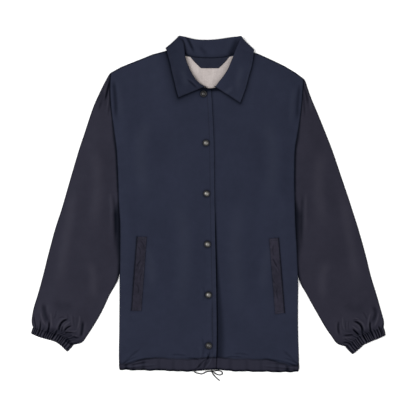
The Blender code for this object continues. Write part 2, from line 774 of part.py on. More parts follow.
def make_facing(facing):
    """The shaped facing at the back neck, on the lining."""
    down = np.linspace(0, 1, 5)[None, :]
    half = FACING["top_half"] + (FACING["foot_half"] - FACING["top_half"]) * down
    x = FACING["centre"] + np.linspace(-1, 1, 9)[:, None] * half
    crown = np.interp(x[:, :1], BACK_TOP["across"], BACK_TOP["height"]) - 1.4
    y = crown * (1 - down) + FACING["foot"] * down
    low = back_bottom(x, y) + BACK_WALL + LINING_WALL + 0.4 + SEAM_GAP + 0.1
    solid("neck_facing", stack(x, y, low + FACING_WALL), stack(x, y, low), facing)


def make_snaps(metal):
    """Six domed snap caps down the right front, turned about their own axes."""
    profile = (
        (0.0, SNAP_HEIGHT),
        (3.6, SNAP_HEIGHT - 0.15),
        (5.4, SNAP_HEIGHT - 0.6),
        (6.6, 1.3),
        (SNAP_RADIUS, 0.8),
        (SNAP_RADIUS, 0.0),
        (0.0, 0.0),
    )
    shaped = bmesh.new()
    points = [shaped.verts.new((r * MM, 0, z * MM)) for r, z in profile]
    edges = [shaped.edges.new(pair) for pair in zip(points, points[1:])]
    turn = dict(cent=(0, 0, 0), axis=(0, 0, 1), angle=2 * np.pi, steps=16, use_merge=True)
    bmesh.ops.spin(shaped, geom=points + edges, **turn)
    bmesh.ops.remove_doubles(shaped, verts=shaped.verts, dist=1e-6)
    bmesh.ops.recalc_face_normals(shaped, faces=shaped.faces)
    mesh = bpy.data.meshes.new("snap_cap")
    shaped.to_mesh(mesh)
    shaped.free()
    heights = [SNAP_TOP] + [SNAP_SECOND - SNAP_PITCH * i for i in range(SNAP_COUNT - 1)]
    ring = np.linspace(0, 2 * np.pi, 24)
    for number, y in enumerate(heights, 1):
        x = float(smooth(OVER_EDGE["height"], OVER_EDGE["across"], y)) - SNAP_FROM_EDGE
        under_cap = [(x + r * np.cos(ring), y + r * np.sin(ring)) for r in (0, SNAP_RADIUS / 2, SNAP_RADIUS)]
        seat = np.max([front_top("right", *place) for place in under_cap])
        cap = add(f"snap_cap_{number}", mesh, metal if number == 1 else None)
        cap.location = placed((x, y, float(seat) + SEAM_GAP))


def smooth_route(route, step):
    """A smooth curve through a route's points, read at even steps along it."""
    route = np.array(route, float)
    places = np.concatenate([[0], np.cumsum(np.linalg.norm(np.diff(route, axis=0), axis=1))])
    at = np.linspace(0, places[-1], int(np.ceil(places[-1] / step)) + 1)
    return np.stack([smooth(places, route[:, k], at) for k in range(3)], axis=1)


def make_drawcord(material):
    for name, route in CORD_ROUTES.items():
        line = placed(smooth_route(route, CORD_STEP))
        curve = bpy.data.curves.new(name, "CURVE")
        curve.dimensions = "3D"
        curve.bevel_depth = CORD_DIAMETER / 2 * MM
        curve.bevel_resolution = 2
        curve.use_fill_caps = True
        spline = curve.splines.new("POLY")
        spline.points.add(len(line) - 1)
        for point, place in zip(spline.points, line):
            point.co = (*place, 1)
        piece = bpy.data.objects.new(name, curve)
        bpy.context.scene.collection.objects.link(piece)
        curve.materials.append(material)
    shaped = bmesh.new()
    bmesh.ops.create_uvsphere(shaped, u_segments=12, v_segments=8, radius=1)
    bmesh.ops.scale(shaped, vec=[h * MM for h in KNOT["half"]], verts=shaped.verts)
    mesh = bpy.data.meshes.new("drawcord_knot")
    shaped.to_mesh(mesh)
    shaped.free()
    knot = add("drawcord_knot", mesh, material)
    knot.location = placed(KNOT["centre"])


def main():
    for old in list(bpy.data.objects):
        bpy.data.objects.remove(old)
    materials = {name: material_of(name) for name in COLOURS}
    make_body(materials["shell"])
    make_sleeve("right", RIGHT_SLEEVE, materials["sleeve_shell"])
    make_sleeve("left", LEFT_SLEEVE, materials["sleeve_shell"])
    for side in ("right", "left"):
        make_cuff(side, CUFFS[side], materials["sleeve_shell"])
        make_welt(side, materials["sleeve_shell"])
    make_collar(materials["shell"])
    make_lining(materials["lining"])
    make_facing(materials["facing"])
    make_snaps(materials["snap_metal"])
    make_drawcord(materials["drawcord"])


main()
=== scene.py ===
"""Looks of a snap-front windbreaker, laid flat on its back, over its CAD frame in the same coordinates.

Right and left are the wearer's: the right front is on the picture's left, at -X, and laps over the
left front. The tables are in millimetres and repeat the CAD part's. The scene is in metres.
"""

import bmesh
import bpy
import numpy as np
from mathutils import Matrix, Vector


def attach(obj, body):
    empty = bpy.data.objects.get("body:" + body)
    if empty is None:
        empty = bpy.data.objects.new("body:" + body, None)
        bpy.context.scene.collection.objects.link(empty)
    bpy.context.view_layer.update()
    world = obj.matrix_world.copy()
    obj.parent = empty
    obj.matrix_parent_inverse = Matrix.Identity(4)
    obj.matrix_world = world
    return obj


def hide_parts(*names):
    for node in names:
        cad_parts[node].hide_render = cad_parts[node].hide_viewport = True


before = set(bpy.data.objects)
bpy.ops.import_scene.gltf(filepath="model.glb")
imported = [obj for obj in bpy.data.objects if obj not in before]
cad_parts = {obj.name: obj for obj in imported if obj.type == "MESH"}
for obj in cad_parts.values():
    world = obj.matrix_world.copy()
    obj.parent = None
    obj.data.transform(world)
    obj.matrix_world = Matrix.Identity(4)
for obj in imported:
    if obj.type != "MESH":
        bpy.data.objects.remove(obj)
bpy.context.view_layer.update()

MM = 0.001
# The middle of the garment in the tables, which everything is placed about
MIDDLE = np.array([0.0, -1.14, 0.0])
# Which way is outward along X on each side
OUTWARD = {"right": -1, "left": 1}

# How thick each cloth wall is, and the gaps at a seam and inside a flattened tube's fold
FRONT_WALL = 1.8
BACK_WALL = 1.8
SLEEVE_WALL = 1.5
COLLAR_WALL = 1.6
CUFF_WALL = 1.5
WELT_WALL = 1.3
LINING_WALL = 1.0
FACING_WALL = 0.9
SEAM_GAP = 0.4
FOLD_GAP = 0.7
FOLD_REACH = 3.6
LINING_GAP = 0.4

# How far the laid cloth stands up: puffed, over a tucked sleeve or the collar leaf, and at the lap
BODY_PUFF = 2.6
SLEEVE_PUFF = 4.6
TUCK_LIFT = 4.3
LEAF_LIFT = 2.9
NECK_RISE = 1.7
LAP_RISE = FRONT_WALL + SEAM_GAP + 0.3
EDGE_LIFT = 2.4

# The left front's hidden edge, and the middle of the neck
UNDER_EDGE = -23.0
NECK_CENTRE = 3.0
# How wide and how low the leaf under the back and the fronts' rise at the neck reach, and between which
# heights the sleeves are tucked under the body
LEAF_HALF = 100
LEAF_FOOT = 236
NECK_HALF = 98
NECK_FOOT = 176
TUCKED = (-212, 42)
# The hem: the height at which the panels' feet are measured, and its channel
FOOT = -384.0
CHANNEL_HEIGHT = 28.0
CHANNEL_AT_SIDE = 14
CHANNEL_RAISE = 1.0
# The placket's row of stitches, and the snaps: in from the free edge, by height and one pitch apart
PLACKET_ROW = 9.6
SNAP_FROM_EDGE = 18.0
SNAP_TOP = 252.4
SNAP_SECOND = 140.1
SNAP_PITCH = 115.9
SNAP_COUNT = 6
SNAP_RADIUS = 7.5
SNAP_TURNS = 44

# The cord, the small pieces' lengths, and how far over their faces the stitches lie
CORD_DIAMETER = 2.6
CORD_STEP = 0.7
KNOT_CORD_RADIUS = 1.15
KNOT_STEPS = 132
WELT_LENGTH = 170
WELT_WIDTH = 22.4
WELT_ROWS = (2.2, 20.0)
CUFF_LENGTH = 15
COLLAR_LENGTH = 470
STITCH_RISE = (0, 0, 0.1)
STITCH_PITCH = 3.6
STITCH_LENGTH = 2.7
STITCH_RADIUS = 0.3
# A stitch's rings: how far along its length each is, and its share of the radius
STITCH_RINGS = ((-0.5, 0.15), (-0.34, 1), (0.34, 1), (0.5, 0.15))
STITCH_SIDES = 5
# The first step of a grid in from its rim, and how far its map runs on across the rim
RIM_STEP = 0.35
RIM_MAP = np.array([1.6, 1.6])


def placed(points):
    """Points of the tables, in metres about the middle of the garment."""
    return (np.asarray(points, float) - MIDDLE) * MM


def table(names, *rows):
    """Rows of numbers as one array for each named column."""
    return dict(zip(names, np.array(rows, float).T))


# The body's side edges, from the hem up to the shoulder tips
SIDES = table(
    ("height", "right", "left"),
    (-388, -199.5, 203.5),
    (-383, -202.2, 206.2),
    (-376, -204.4, 208.2),
    (-363, -205.0, 208.0),
    (-290, -204.5, 206.0),
    (-168, -203.4, 205.5),
    (-105, -202.2, 203.0),
    (-40, -202.6, 199.2),
    (10, -205.8, 198.4),
    (78, -208.6, 198.0),
    (128, -211.4, 199.6),
    (170, -217.0, 206.5),
    (215, -223.0, 213.0),
    (262, -226.0, 217.0),
    (301, -224.5, 219.5),
)
# The shoulder line between its tips and the neck, each from its -X end
RIGHT_SHOULDER = ((-200, 315.0), (-168, 327.8), (-129, 343.2), (-99, 351.0), (-78.7, 355))
LEFT_SHOULDER = ((80, 355.5), (103, 348.6), (117, 343.5), (147, 330.2), (174, 317.5), (199, 302.5))
RIGHT_TIP = (-224.5, 301.4)
LEFT_TIP = (219.3, 287.5)
SHOULDER_ENDS = ((-226, 301.2), (221, 286))
# The neck's line on each panel
RIGHT_NECK = (
    (-74, 331),
    (-64, 310.5),
    (-51.5, 295),
    (-37.5, 281),
    (-22.5, 271.5),
    (-12, 267.5),
    (-1, 265.6),
    (6.4, 265),
)
LEFT_NECK = ((76, 331), (65, 309.5), (53, 293.5), (37, 276), (21, 268.5), (6, 265.2), (-23, 263.5))
BACK_NECK = ((-58, 342), (-30, 335.5), (3, 334), (36, 335.5), (62, 342))
# The shoulder line, bridged over the neck
SHOULDERS = table(
    ("across", "height"),
    SHOULDER_ENDS[0],
    *RIGHT_SHOULDER,
    (0, 372),
    *LEFT_SHOULDER,
    SHOULDER_ENDS[1],
)
# The hem's line, and the free edge of the right front
HEM = table(
    ("across", "height"),
    (-206, -380),
    (-150, -381.0),
    (-90, -382.0),
    (-60, -383.6),
    (-22, -381.5),
    (0, -379.6),
    (16, -379.2),
    (45, -382),
    (120, -384.2),
    (186, -385.0),
    (209, -384),
)
OVER_EDGE = table(
    ("height", "across"),
    (-381, 16.6),
    (-348, 18.2),
    (-198, 18.2),
    (-110, 16.4),
    (21, 14.0),
    (153, 12.2),
    (265, 6.4),
)


def boundary(shares, *points):
    """A panel's top boundary: its points, and how far along the panel's width each of them is."""
    return table(("share", "across", "height"), *((s, *p) for s, p in zip(shares, points, strict=True)))


# The top boundary of each panel: on a front from its side seam to its edge, on the back from right to left
RIGHT_FRONT_TOP = boundary(
    (0.00, 0.12, 0.27, 0.42, 0.52, 0.59, 0.64, 0.68, 0.72, 0.76, 0.815, 0.86, 0.92, 1.00),
    RIGHT_TIP,
    *RIGHT_SHOULDER,
    *RIGHT_NECK,
)
LEFT_FRONT_TOP = boundary(
    (0.00, 0.08, 0.19, 0.31, 0.44, 0.50, 0.56, 0.61, 0.66, 0.71, 0.77, 0.83, 0.90, 1.00),
    LEFT_TIP,
    *LEFT_SHOULDER[::-1],
    *LEFT_NECK,
)
BACK_TOP = boundary(
    (0.00, 0.06, 0.14, 0.23, 0.30, 0.34, 0.38, 0.44, 0.505)
    + (0.57, 0.63, 0.67, 0.72, 0.76, 0.83, 0.89, 0.95, 1.00),
    RIGHT_TIP,
    *RIGHT_SHOULDER,
    *BACK_NECK,
    *LEFT_SHOULDER,
    LEFT_TIP,
)
# Soft ridges and troughs of the body cloth, each along a line, with its half width and height
BODY_FOLDS = table(
    ("x0", "y0", "x1", "y1", "width", "height"),
    (-196, 250, -168, 60, 16, 0.3),
    (192, 236, 168, 40, 16, 0.35),
    (-120, 318, -170, 226, 13, -0.3),
    (124, 316, 166, 216, 13, -0.3),
    (-60, 190, -96, -60, 22, 0.5),
    (74, 170, 100, -80, 22, 0.5),
    (-116, -120, -96, -330, 18, -0.5),
    (108, -130, 92, -330, 18, -0.5),
    (-196, -372, -130, -330, 12, 0.6),
    (198, -374, 128, -326, 12, 0.6),
    (-34, -378, -24, -338, 7, 0.7),
)

# Sleeve sections from the armhole to the cuff: outer fold, inner edge, and whether the tube is closed
EDGES = ("outer_x", "outer_y", "inner_x", "inner_y")
SLEEVE_COLUMNS = (*EDGES, "closed")
RIGHT_SLEEVE = table(
    SLEEVE_COLUMNS,
    (-225.6, 300.6, 0, 300.7, 0),
    (-230.6, 293.0, 0, 293.4, 0),
    (-246.6, 262.2, 0, 264.5, 0),
    (-265.0, 220.8, 0, 216.0, 0),
    (-283.4, 165.6, 0, 165.6, 0),
    (-297.2, 124.2, 0, 124.0, 0),
    (-315.6, 62.1, 0, 66.7, 0),
    (-330.0, 12.0, -205.0, 27.6, 1),
    (-339.0, -18.0, -202.8, -5.0, 1),
    (-351.2, -55.2, -200.0, -41.4, 1),
    (-366.2, -110.4, -199.0, -105.8, 1),
    (-380.0, -165.6, -206.5, -169.0, 1),
    (-391.5, -207.0, -226.6, -208.2, 1),
    (-400.7, -236.9, -245.6, -248.4, 1),
    (-405.3, -262.2, -264.4, -280.6, 1),
    (-405.2, -272.6, -278.4, -302.0, 1),
    (-404.2, -278.3, -290.0, -317.2, 1),
    (-402.3, -281.8, -309.1, -322.6, 1),
)
LEFT_SLEEVE = table(
    SLEEVE_COLUMNS,
    (220.3, 287.0, 0, 287.0, 0),
    (223.8, 279.2, 0, 279.8, 0),
    (234.1, 248.4, 0, 253.0, 0),
    (251.4, 207.0, 0, 209.3, 0),
    (270.9, 158.7, 0, 161.0, 0),
    (285.9, 119.6, 0, 119.6, 0),
    (305.4, 62.1, 0, 66.7, 0),
    (322.4, 12.0, 197.0, 27.6, 1),
    (332.0, -18.0, 196.6, -5.0, 1),
    (344.5, -57.5, 195.2, -41.4, 1),
    (359.5, -110.4, 197.6, -105.8, 1),
    (373.3, -165.6, 208.2, -172.5, 1),
    (385.9, -207.0, 226.8, -209.3, 1),
    (395.1, -239.2, 249.2, -249.6, 1),
    (401.6, -262.2, 268.6, -282.9, 1),
    (403.2, -271.4, 282.6, -303.2, 1),
    (403.0, -278.3, 295.6, -320.0, 1),
    (402.3, -281.5, 313.7, -326.6, 1),
)
CUFFS = {
    "right": table(
        (*EDGES, "swell"),
        (-402.5, -282.5, -309.9, -323.4, 0.0),
        (-405.2, -289.4, -315.0, -330.0, 1.0),
        (-406.9, -296.4, -323.2, -338.4, 0.3),
    ),
    "left": table(
        (*EDGES, "swell"),
        (402.5, -282.2, 314.4, -327.5, 0.0),
        (405.3, -291.2, 321.2, -335.4, 1.0),
        (406.9, -300.4, 330.5, -344.3, 0.3),
    ),
}
# The collar: neck seam, roll line and leaf edge at each section from the centre front to the back
COLLAR_COLUMNS = ("neck_x", "neck_y", "neck_z", "roll_x", "roll_y", "roll_z", "leaf_x", "leaf_y", "turn")
COLLAR_RIGHT = table(
    COLLAR_COLUMNS,
    (-4.0, 267.9, 10.2, -8.6, 268.4, 13.6, -68.0, 243.2, 90),
    (-17.0, 271.9, 9.4, -22.4, 277.2, 14.0, -73.0, 258.8, 90),
    (-35.0, 282.8, 8.0, -35.4, 293.8, 14.4, -77.5, 278.3, 90),
    (-51.2, 299.8, 7.4, -45.4, 313.6, 15.2, -83.2, 301.3, 90),
    (-66.6, 322.6, 7.4, -52.8, 334.4, 15.8, -88.2, 324.3, 90),
    (-73.2, 342.0, 7.6, -55.0, 355.0, 16.0, -93.0, 341.0, 88),
    (-76.5, 351.0, 7.0, -58.2, 371.0, 15.2, -96.4, 353.8, 60),
    (-77.5, 359.0, 5.6, -68.4, 382.8, 13.4, -97.6, 357.6, 0),
    (-67.0, 353.0, 4.3, -57.6, 382.6, 12.0, -89.0, 354.2, -62),
    (-51.5, 343.6, 3.9, -42.0, 379.0, 11.6, -68.0, 332.0, -88),
    (-28.0, 337.4, 3.9, -23.0, 375.6, 11.6, -32.0, 318.5, -90),
    (3.0, 335.6, 3.9, 3.0, 375.2, 11.6, 3.0, 315.5, -90),
)
COLLAR_LEFT = table(
    COLLAR_COLUMNS,
    (12.6, 269.2, 8.8, 16.8, 267.6, 12.6, 73.0, 231.4, 90),
    (24.6, 272.2, 7.6, 23.6, 278.2, 13.4, 78.6, 246.1, 90),
    (38.0, 281.0, 7.6, 33.8, 290.8, 14.4, 86.3, 266.8, 90),
    (52.4, 298.2, 7.4, 44.2, 306.4, 15.2, 91.4, 287.5, 90),
    (67.2, 320.4, 7.4, 54.3, 329.9, 15.8, 98.8, 312.8, 90),
    (74.6, 342.0, 7.6, 63.0, 352.0, 16.0, 103.0, 336.0, 88),
    (78.0, 351.0, 7.0, 70.6, 369.4, 15.2, 104.6, 351.8, 60),
    (79.0, 359.0, 5.6, 76.2, 382.4, 13.4, 103.2, 355.4, 0),
    (70.0, 353.4, 4.3, 65.4, 382.2, 12.0, 95.2, 353.6, -62),
    (56.5, 343.6, 3.9, 49.0, 380.6, 11.6, 74.0, 331.0, -88),
    (34.0, 337.4, 3.9, 26.0, 377.2, 11.6, 38.0, 318.5, -90),
)
COLLARS = {"right": COLLAR_RIGHT, "left": COLLAR_LEFT}
ROLL_RADIUS = 1.7

# Pocket welts, from top to bottom: the opening edge, which faces the side seam, and the sewn edge
WELT_COLUMNS = ("open_x", "open_y", "sewn_x", "sewn_y")
WELTS = {
    "right": table(WELT_COLUMNS, (-164.0, -74.6, -141.0, -74.6), (-177.0, -243.5, -153.6, -244)),
    "left": table(WELT_COLUMNS, (161.5, -77, 139.4, -79), (175.4, -248.5, 153.2, -251.5)),
}

# The drawstring's visible runs, each a route through these points
CORD_ROUTES = {
    "drawcord_run": (
        (-31.6, -382.7, 4.0),
        (-31.4, -384.2, 3.7),
        (-29.8, -386.0, 2.8),
        (-26.0, -387.4, 1.8),
        (-21.0, -388.8, 1.45),
        (-16.0, -389.6, 1.45),
        (-11.5, -388.4, 1.45),
        (-7.4, -386.0, 1.7),
        (-3.0, -384.0, 2.5),
        (1.6, -383.2, 3.2),
        (5.65, -383.1, 3.5),
    ),
    "drawcord_loop": (
        (13.95, -382.2, 3.9),
        (17.5, -381.4, 3.6),
        (22.5, -381.7, 2.9),
        (27.5, -382.8, 2.1),
        (31.4, -385.2, 1.5),
        (32.2, -388.6, 1.45),
        (29.6, -391.2, 1.45),
        (25.4, -391.9, 1.45),
        (21.0, -391.0, 1.45),
        (16.6, -388.8, 1.9),
        (13.2, -385.9, 2.9),
    ),
    "drawcord_tail": (
        (9.6, -386.2, 3.0),
        (10.2, -388.8, 2.2),
        (12.6, -392.2, 1.45),
        (16.6, -396.6, 1.45),
        (21.0, -400.8, 1.45),
        (26.4, -405.0, 1.45),
    ),
}
KNOT = dict(centre=(9.8, -383.1, 3.5), half=(4.0, 2.9, 3.4))

# The lining that shows through the neck, and the shaped facing at the back of the neck
LINING = dict(half_width=92.0, foot=212.0)
FACING = dict(centre=3.4, top_half=44.2, foot_half=20.0, foot=311.3)

# What lies on the fronts: the collar's foot at the neck, and the depth and width of its leaf's shadow
UNDER_COLLAR = ((-34, 271), (-8, 262.5), (16, 262.5), (34, 268))
LEAF_SHADOW = {"right": (0.4, 13.0), "left": (0.25, 8.0)}

# Creases, each a soft ridge or trough along a curve through three points, drawn in a few steps and
# worked out as far out as so many widths
CREASE_STEPS = 12
CREASE_REACH = 4.6
CREASE_COLUMNS = ("x0", "y0", "x1", "y1", "x2", "y2", "width", "height")
RIGHT_SLEEVE_CREASES = table(
    CREASE_COLUMNS,
    (-350.5, -221, -334, -234.5, -306.5, -232.5, 12, -0.45),
    (-239.5, 262, -244, 240, -250.5, 217, 3.0, -1.0),
    (-224.5, 246, -226.5, 226, -229.5, 205.5, 2.2, -0.9),
    (-233, 276, -241, 253, -247, 230, 3, 1),
    (-218, 18.5, -213.5, -23, -213.5, -96.5, 3.6, -0.9),
    (-226, 27.5, -222.5, -4.5, -222.5, -60, 4, 0.4),
    (-265, 124, -253.5, 41.5, -267.5, -50.5, 16, 0.45),
    (-304.5, 41.5, -325, -73.5, -343.5, -188.5, 14, 0.45),
    (-274.5, -133.5, -263, -170, -265, -221, 12, 0.5),
    (-225.0, 289, -230.9, 262.6, -236.5, 240, 1.9, -2.4),
    (-226, 268, -228.5, 244, -232, 220, 2.2, 0.6),
)
LEFT_SLEEVE_CREASES = table(
    CREASE_COLUMNS,
    (314.5, -225.5, 333, -237, 360.5, -232.5, 12, -0.45),
    (215.5, 280.5, 224.5, 255.5, 229.5, 230, 3.4, -1.4),
    (218, 257.5, 220, 230, 221.5, 202.5, 2.6, -1),
    (220, 273.5, 230.5, 253, 236, 232.5, 3, 1),
    (216.5, 18.5, 214.5, -23, 214.5, -101, 3.6, -0.9),
    (224.5, 27.5, 223.5, -4.5, 223.5, -64.5, 4, 0.4),
    (264, 124, 252.5, 41.5, 266, -50.5, 16, 0.45),
    (303, 41.5, 323.5, -73.5, 342, -188.5, 14, 0.45),
    (273, -133.5, 261.5, -170, 264, -221, 12, 0.5),
    (221.5, 284, 228.5, 262, 236, 238, 2.4, -2.2),
    (229, 252, 233, 236, 238, 214, 4, 0.6),
)
# The folds of each gathered sleeve end, over the cuff too
RIGHT_GATHER_CREASES = table(
    CREASE_COLUMNS,
    (-322.7, -265.6, -337.6, -274.8, -345.7, -297.8, 2.26, -4.2),
    (-348, -292.1, -352.6, -301.3, -359.5, -309.3, 1.56, -2.4),
    (-316.9, -271.4, -327.3, -279.4, -335.3, -288.6, 2.5, 1.5),
    (-334.2, -282.9, -337.6, -290.9, -338.8, -300.1, 1.56, -2),
    (-315.8, -282.9, -326.1, -288.6, -333, -297.8, 1.87, -3.4),
    (-312.3, -298.5, -322.7, -300.8, -333, -299, 1.25, -2.4),
    (-302, -293.2, -312.3, -296.7, -325, -296.2, 1.56, 1.2),
    (-297.4, -309.3, -304.3, -310, -311.2, -309.1, 1.4, -2.2),
    (-300.8, -305, -308.9, -305.4, -316.9, -304.5, 1.56, 1),
    (-329.6, -310.5, -320.4, -317.4, -308.9, -324.3, 1.72, -1.8),
    (-377.9, -227.7, -374.4, -250.7, -366.4, -273.7, 5.07, -1.61),
    (-365.7, -269.1, -366.4, -285.2, -371.9, -302.4, 1.87, -3.2),
    (-360.6, -248.4, -359.9, -266.8, -359.5, -285.2, 2.18, 1.3),
    (-383.6, -248.4, -381.3, -262.2, -373.3, -279.4, 2.34, 1.4),
    (-385.9, -266.8, -385.9, -282.9, -391.2, -299, 1.56, -2.4),
    (-348, -242.6, -349.1, -253, -353.7, -264.5, 1.87, -0.68),
    (-400.4, -255.3, -398.6, -269.1, -395.1, -282.9, 1.56, -1.6),
    (-295.1, -256.4, -296.2, -271.4, -302, -290.9, 2.03, 1.4),
    (-288.2, -269.1, -290.5, -289.8, -293.9, -307, 3.12, -2.6),
    (-314.6, -253, -313.9, -266.8, -313.9, -282.9, 1.4, 0.7),
    (-308.9, -255.3, -308.9, -271.4, -308.9, -287.5, 1.25, -0.8),
    (-322.7, -249.5, -321.5, -259.9, -323.8, -266.8, 1.56, -0.7),
    (-342.2, -262.2, -335.3, -259.4, -328.4, -261.3, 1.4, -0.9),
    (-384.8, -289.8, -343.4, -299, -302, -315.1, 8.58, -0.7),
)
LEFT_GATHER_CREASES = table(
    CREASE_COLUMNS,
    (332.8, -268.6, 350.1, -279.4, 354.7, -299, 2.34, -4.2),
    (354.7, -296.7, 358.1, -308.2, 365, -316.2, 1.56, -2.4),
    (336.3, -261, 346.6, -267.3, 357, -277.1, 1.72, 1.2),
    (331.7, -266.3, 339.7, -265, 348.9, -266.8, 1.17, -1.6),
    (332.8, -289.8, 339.7, -296.7, 348.9, -305.9, 2.03, -3.4),
    (330.5, -280.6, 338.6, -287.5, 345.5, -293.2, 1.87, 1.2),
    (309.8, -302.7, 322.5, -303.6, 335.1, -304.5, 1.33, -2.4),
    (307.5, -309.1, 319, -308.7, 330.5, -310, 1.72, 1.2),
    (312.1, -296.7, 322.5, -299, 332.8, -300.4, 1.4, 0.9),
    (307.5, -319.7, 319, -318.5, 332.8, -324.3, 1.72, -1.8),
    (376.5, -232.3, 383.4, -250.7, 374.2, -271.4, 4.68, -1.49),
    (371.9, -269.1, 371.9, -285.2, 377.9, -304.8, 1.87, -3.2),
    (371.4, -248.4, 367.3, -266.8, 366.8, -285.2, 2.03, 1.3),
    (389.2, -248.4, 388, -262.2, 381.1, -281.8, 2.34, 1.5),
    (390.3, -279.4, 394.4, -288.6, 398.4, -299, 1.56, -2.4),
    (353.5, -246.1, 359.3, -255.3, 363.9, -265.6, 2.03, -0.81),
    (401.8, -257.6, 401.8, -271.4, 398.4, -282.9, 1.56, -1.8),
    (299.5, -269.1, 298.3, -285.2, 301.8, -302.4, 2.5, -2.2),
    (307.5, -257.6, 308.7, -276, 313.3, -290.9, 1.72, 1.2),
    (315.6, -266.8, 315.6, -280.6, 316.7, -292.1, 1.25, -1),
    (321.3, -269.1, 321.3, -280.6, 322.5, -292.1, 1.25, -1),
    (319, -266.8, 319, -280.6, 320.2, -292.1, 1.09, 0.6),
    (309.8, -296.7, 346.6, -299, 388, -292.1, 8.58, -0.6),
)
FRONT_CREASES = table(
    CREASE_COLUMNS,
    (-199.5, -369, -171, -366, -137, -357, 2.6, -0.7),
    (-197.5, -370.5, -178, -349.5, -152.5, -329, 2.8, -0.7),
    (-196, -372.5, -168.5, -369, -132, -365, 2.2, 0.8),
    (209.5, -370, 183.5, -367, 151, -361, 2.6, -0.7),
    (207.5, -372.5, 190, -352, 169.5, -333.5, 2.8, -0.7),
    (206.5, -376, 176.5, -370.5, 139.5, -365.5, 2.2, 0.8),
    (3, -336, -2, -354, -17, -376, 2.4, -1.4),
    (9.5, -340.5, 6, -356.5, -6.5, -376, 2.2, 1),
    (-15.5, -303.5, -10, -329, -14.5, -352, 3.2, -0.6),
    (-23.5, -324.5, -17, -340.5, -21.5, -359, 2.6, 0.6),
    (-3, -361, -7.5, -368, -10, -377, 1.8, -0.8),
    (-14.5, -188.5, -8.5, -202.5, -12, -221, 2.6, -0.5),
    (11, -221, 8.5, -267, 12, -324.5, 3.4, -0.5),
    (-150, -96.5, -132, -133.5, -127, -198, 12, 0.5),
    (149, -96.5, 130.5, -138, 126, -202.5, 12, 0.5),
    (-132, 193, -155, 124, -141, 9, 18, 0.6),
    (126, 184, 149, 119.5, 135, 0, 18, 0.6),
    (-72, 9, -53.5, -106, -67.5, -244, 20, 0.5),
    (75, 9, 61.5, -106, 75, -244, 20, 0.5),
    (-217.5, 284, -213.6, 246, -211.0, 196, 4.4, -1.5),
    (210, 276, 206, 238.5, 203.5, 192.5, 4.6, -1.1),
    (-203.5, 267, -198.5, 230, -197.5, 179.5, 6, 0.22),
    (197, 267, 191.5, 230, 190, 179.5, 6, 0.5),
    (-199, -375.4, -170.9, -359.9, -127.2, -353.7, 2, -0.81),
    (-198.5, -376.3, -168.6, -367.1, -134.1, -362, 1.7, -0.68),
    (-195, -377.7, -159.4, -373.5, -113.4, -370.3, 1.7, -0.56),
    (-197.3, -366.8, -182.4, -357.6, -164, -349.6, 1.8, -0.8),
    (-187, -371.4, -164, -362.9, -136.4, -357.9, 1.7, 0.8),
    (-191.6, -374, -154.8, -370.3, -118, -366.2, 1.6, 0.7),
    (210, -376.7, 176.4, -362.2, 125.8, -354.2, 2, -0.81),
    (208.6, -378.1, 171.8, -368.9, 135, -363.4, 1.7, -0.68),
    (205.2, -379.5, 167.2, -375.8, 116.6, -372.6, 1.7, -0.56),
    (208.1, -368, 192.5, -358.8, 174.1, -351.9, 1.8, -0.8),
    (194.8, -372.6, 171.8, -365.2, 144.2, -359.3, 1.7, 0.8),
    (199.4, -375.8, 162.6, -372.6, 125.8, -368.5, 1.6, 0.7),
    (-24.8, -373.7, -15.6, -363.4, -3, -353, 1.8, -1.6),
    (-35.2, -379.5, -22.5, -372.6, -9.9, -361.1, 1.7, -1.2),
    (-14.5, -378.3, -4.1, -365.7, 3.9, -353, 1.8, -0.9),
    (-19.1, -357.6, -32.9, -353, -53.6, -353.3, 1.6, -1),
    (38.4, -351.9, 56.8, -349.6, 79.8, -351, 1.8, -0.9),
    (-4.1, -339.2, -0.7, -347.3, -1.8, -357.6, 1.8, -0.8),
    (-85.8, -346.1, -67.4, -345, -49, -348.4, 2.2, -0.7),
    (56.8, -343.8, 75.2, -342.7, 93.6, -346.1, 2.2, -0.6),
)
COLLAR_CREASES = table(
    CREASE_COLUMNS,
    (-49, 285, -37.5, 276, -25, 263.5, 2, -0.8),
    (-42, 287.5, -33, 278.5, -22.5, 267, 1.8, 0.6),
    (27, 248.5, 43, 256.5, 57, 271.5, 5, 0.7),
    (-60.5, 308, -53.5, 290, -49, 267, 8, 0.6),
    (77.5, 317.5, 70.5, 290, 66, 257.5, 8, 0.5),
    (-52.5, 380.5, -38.5, 365.5, -25, 341.5, 3.4, -1.4),
    (-45.5, 380.5, -30.5, 365.5, -18, 342.5, 3.4, 1),
    (-3, 372.5, -0.5, 359, -3, 345, 8, 0.5),
    (47.5, 372.5, 38.5, 359, 43, 345, 7, -0.5),
)
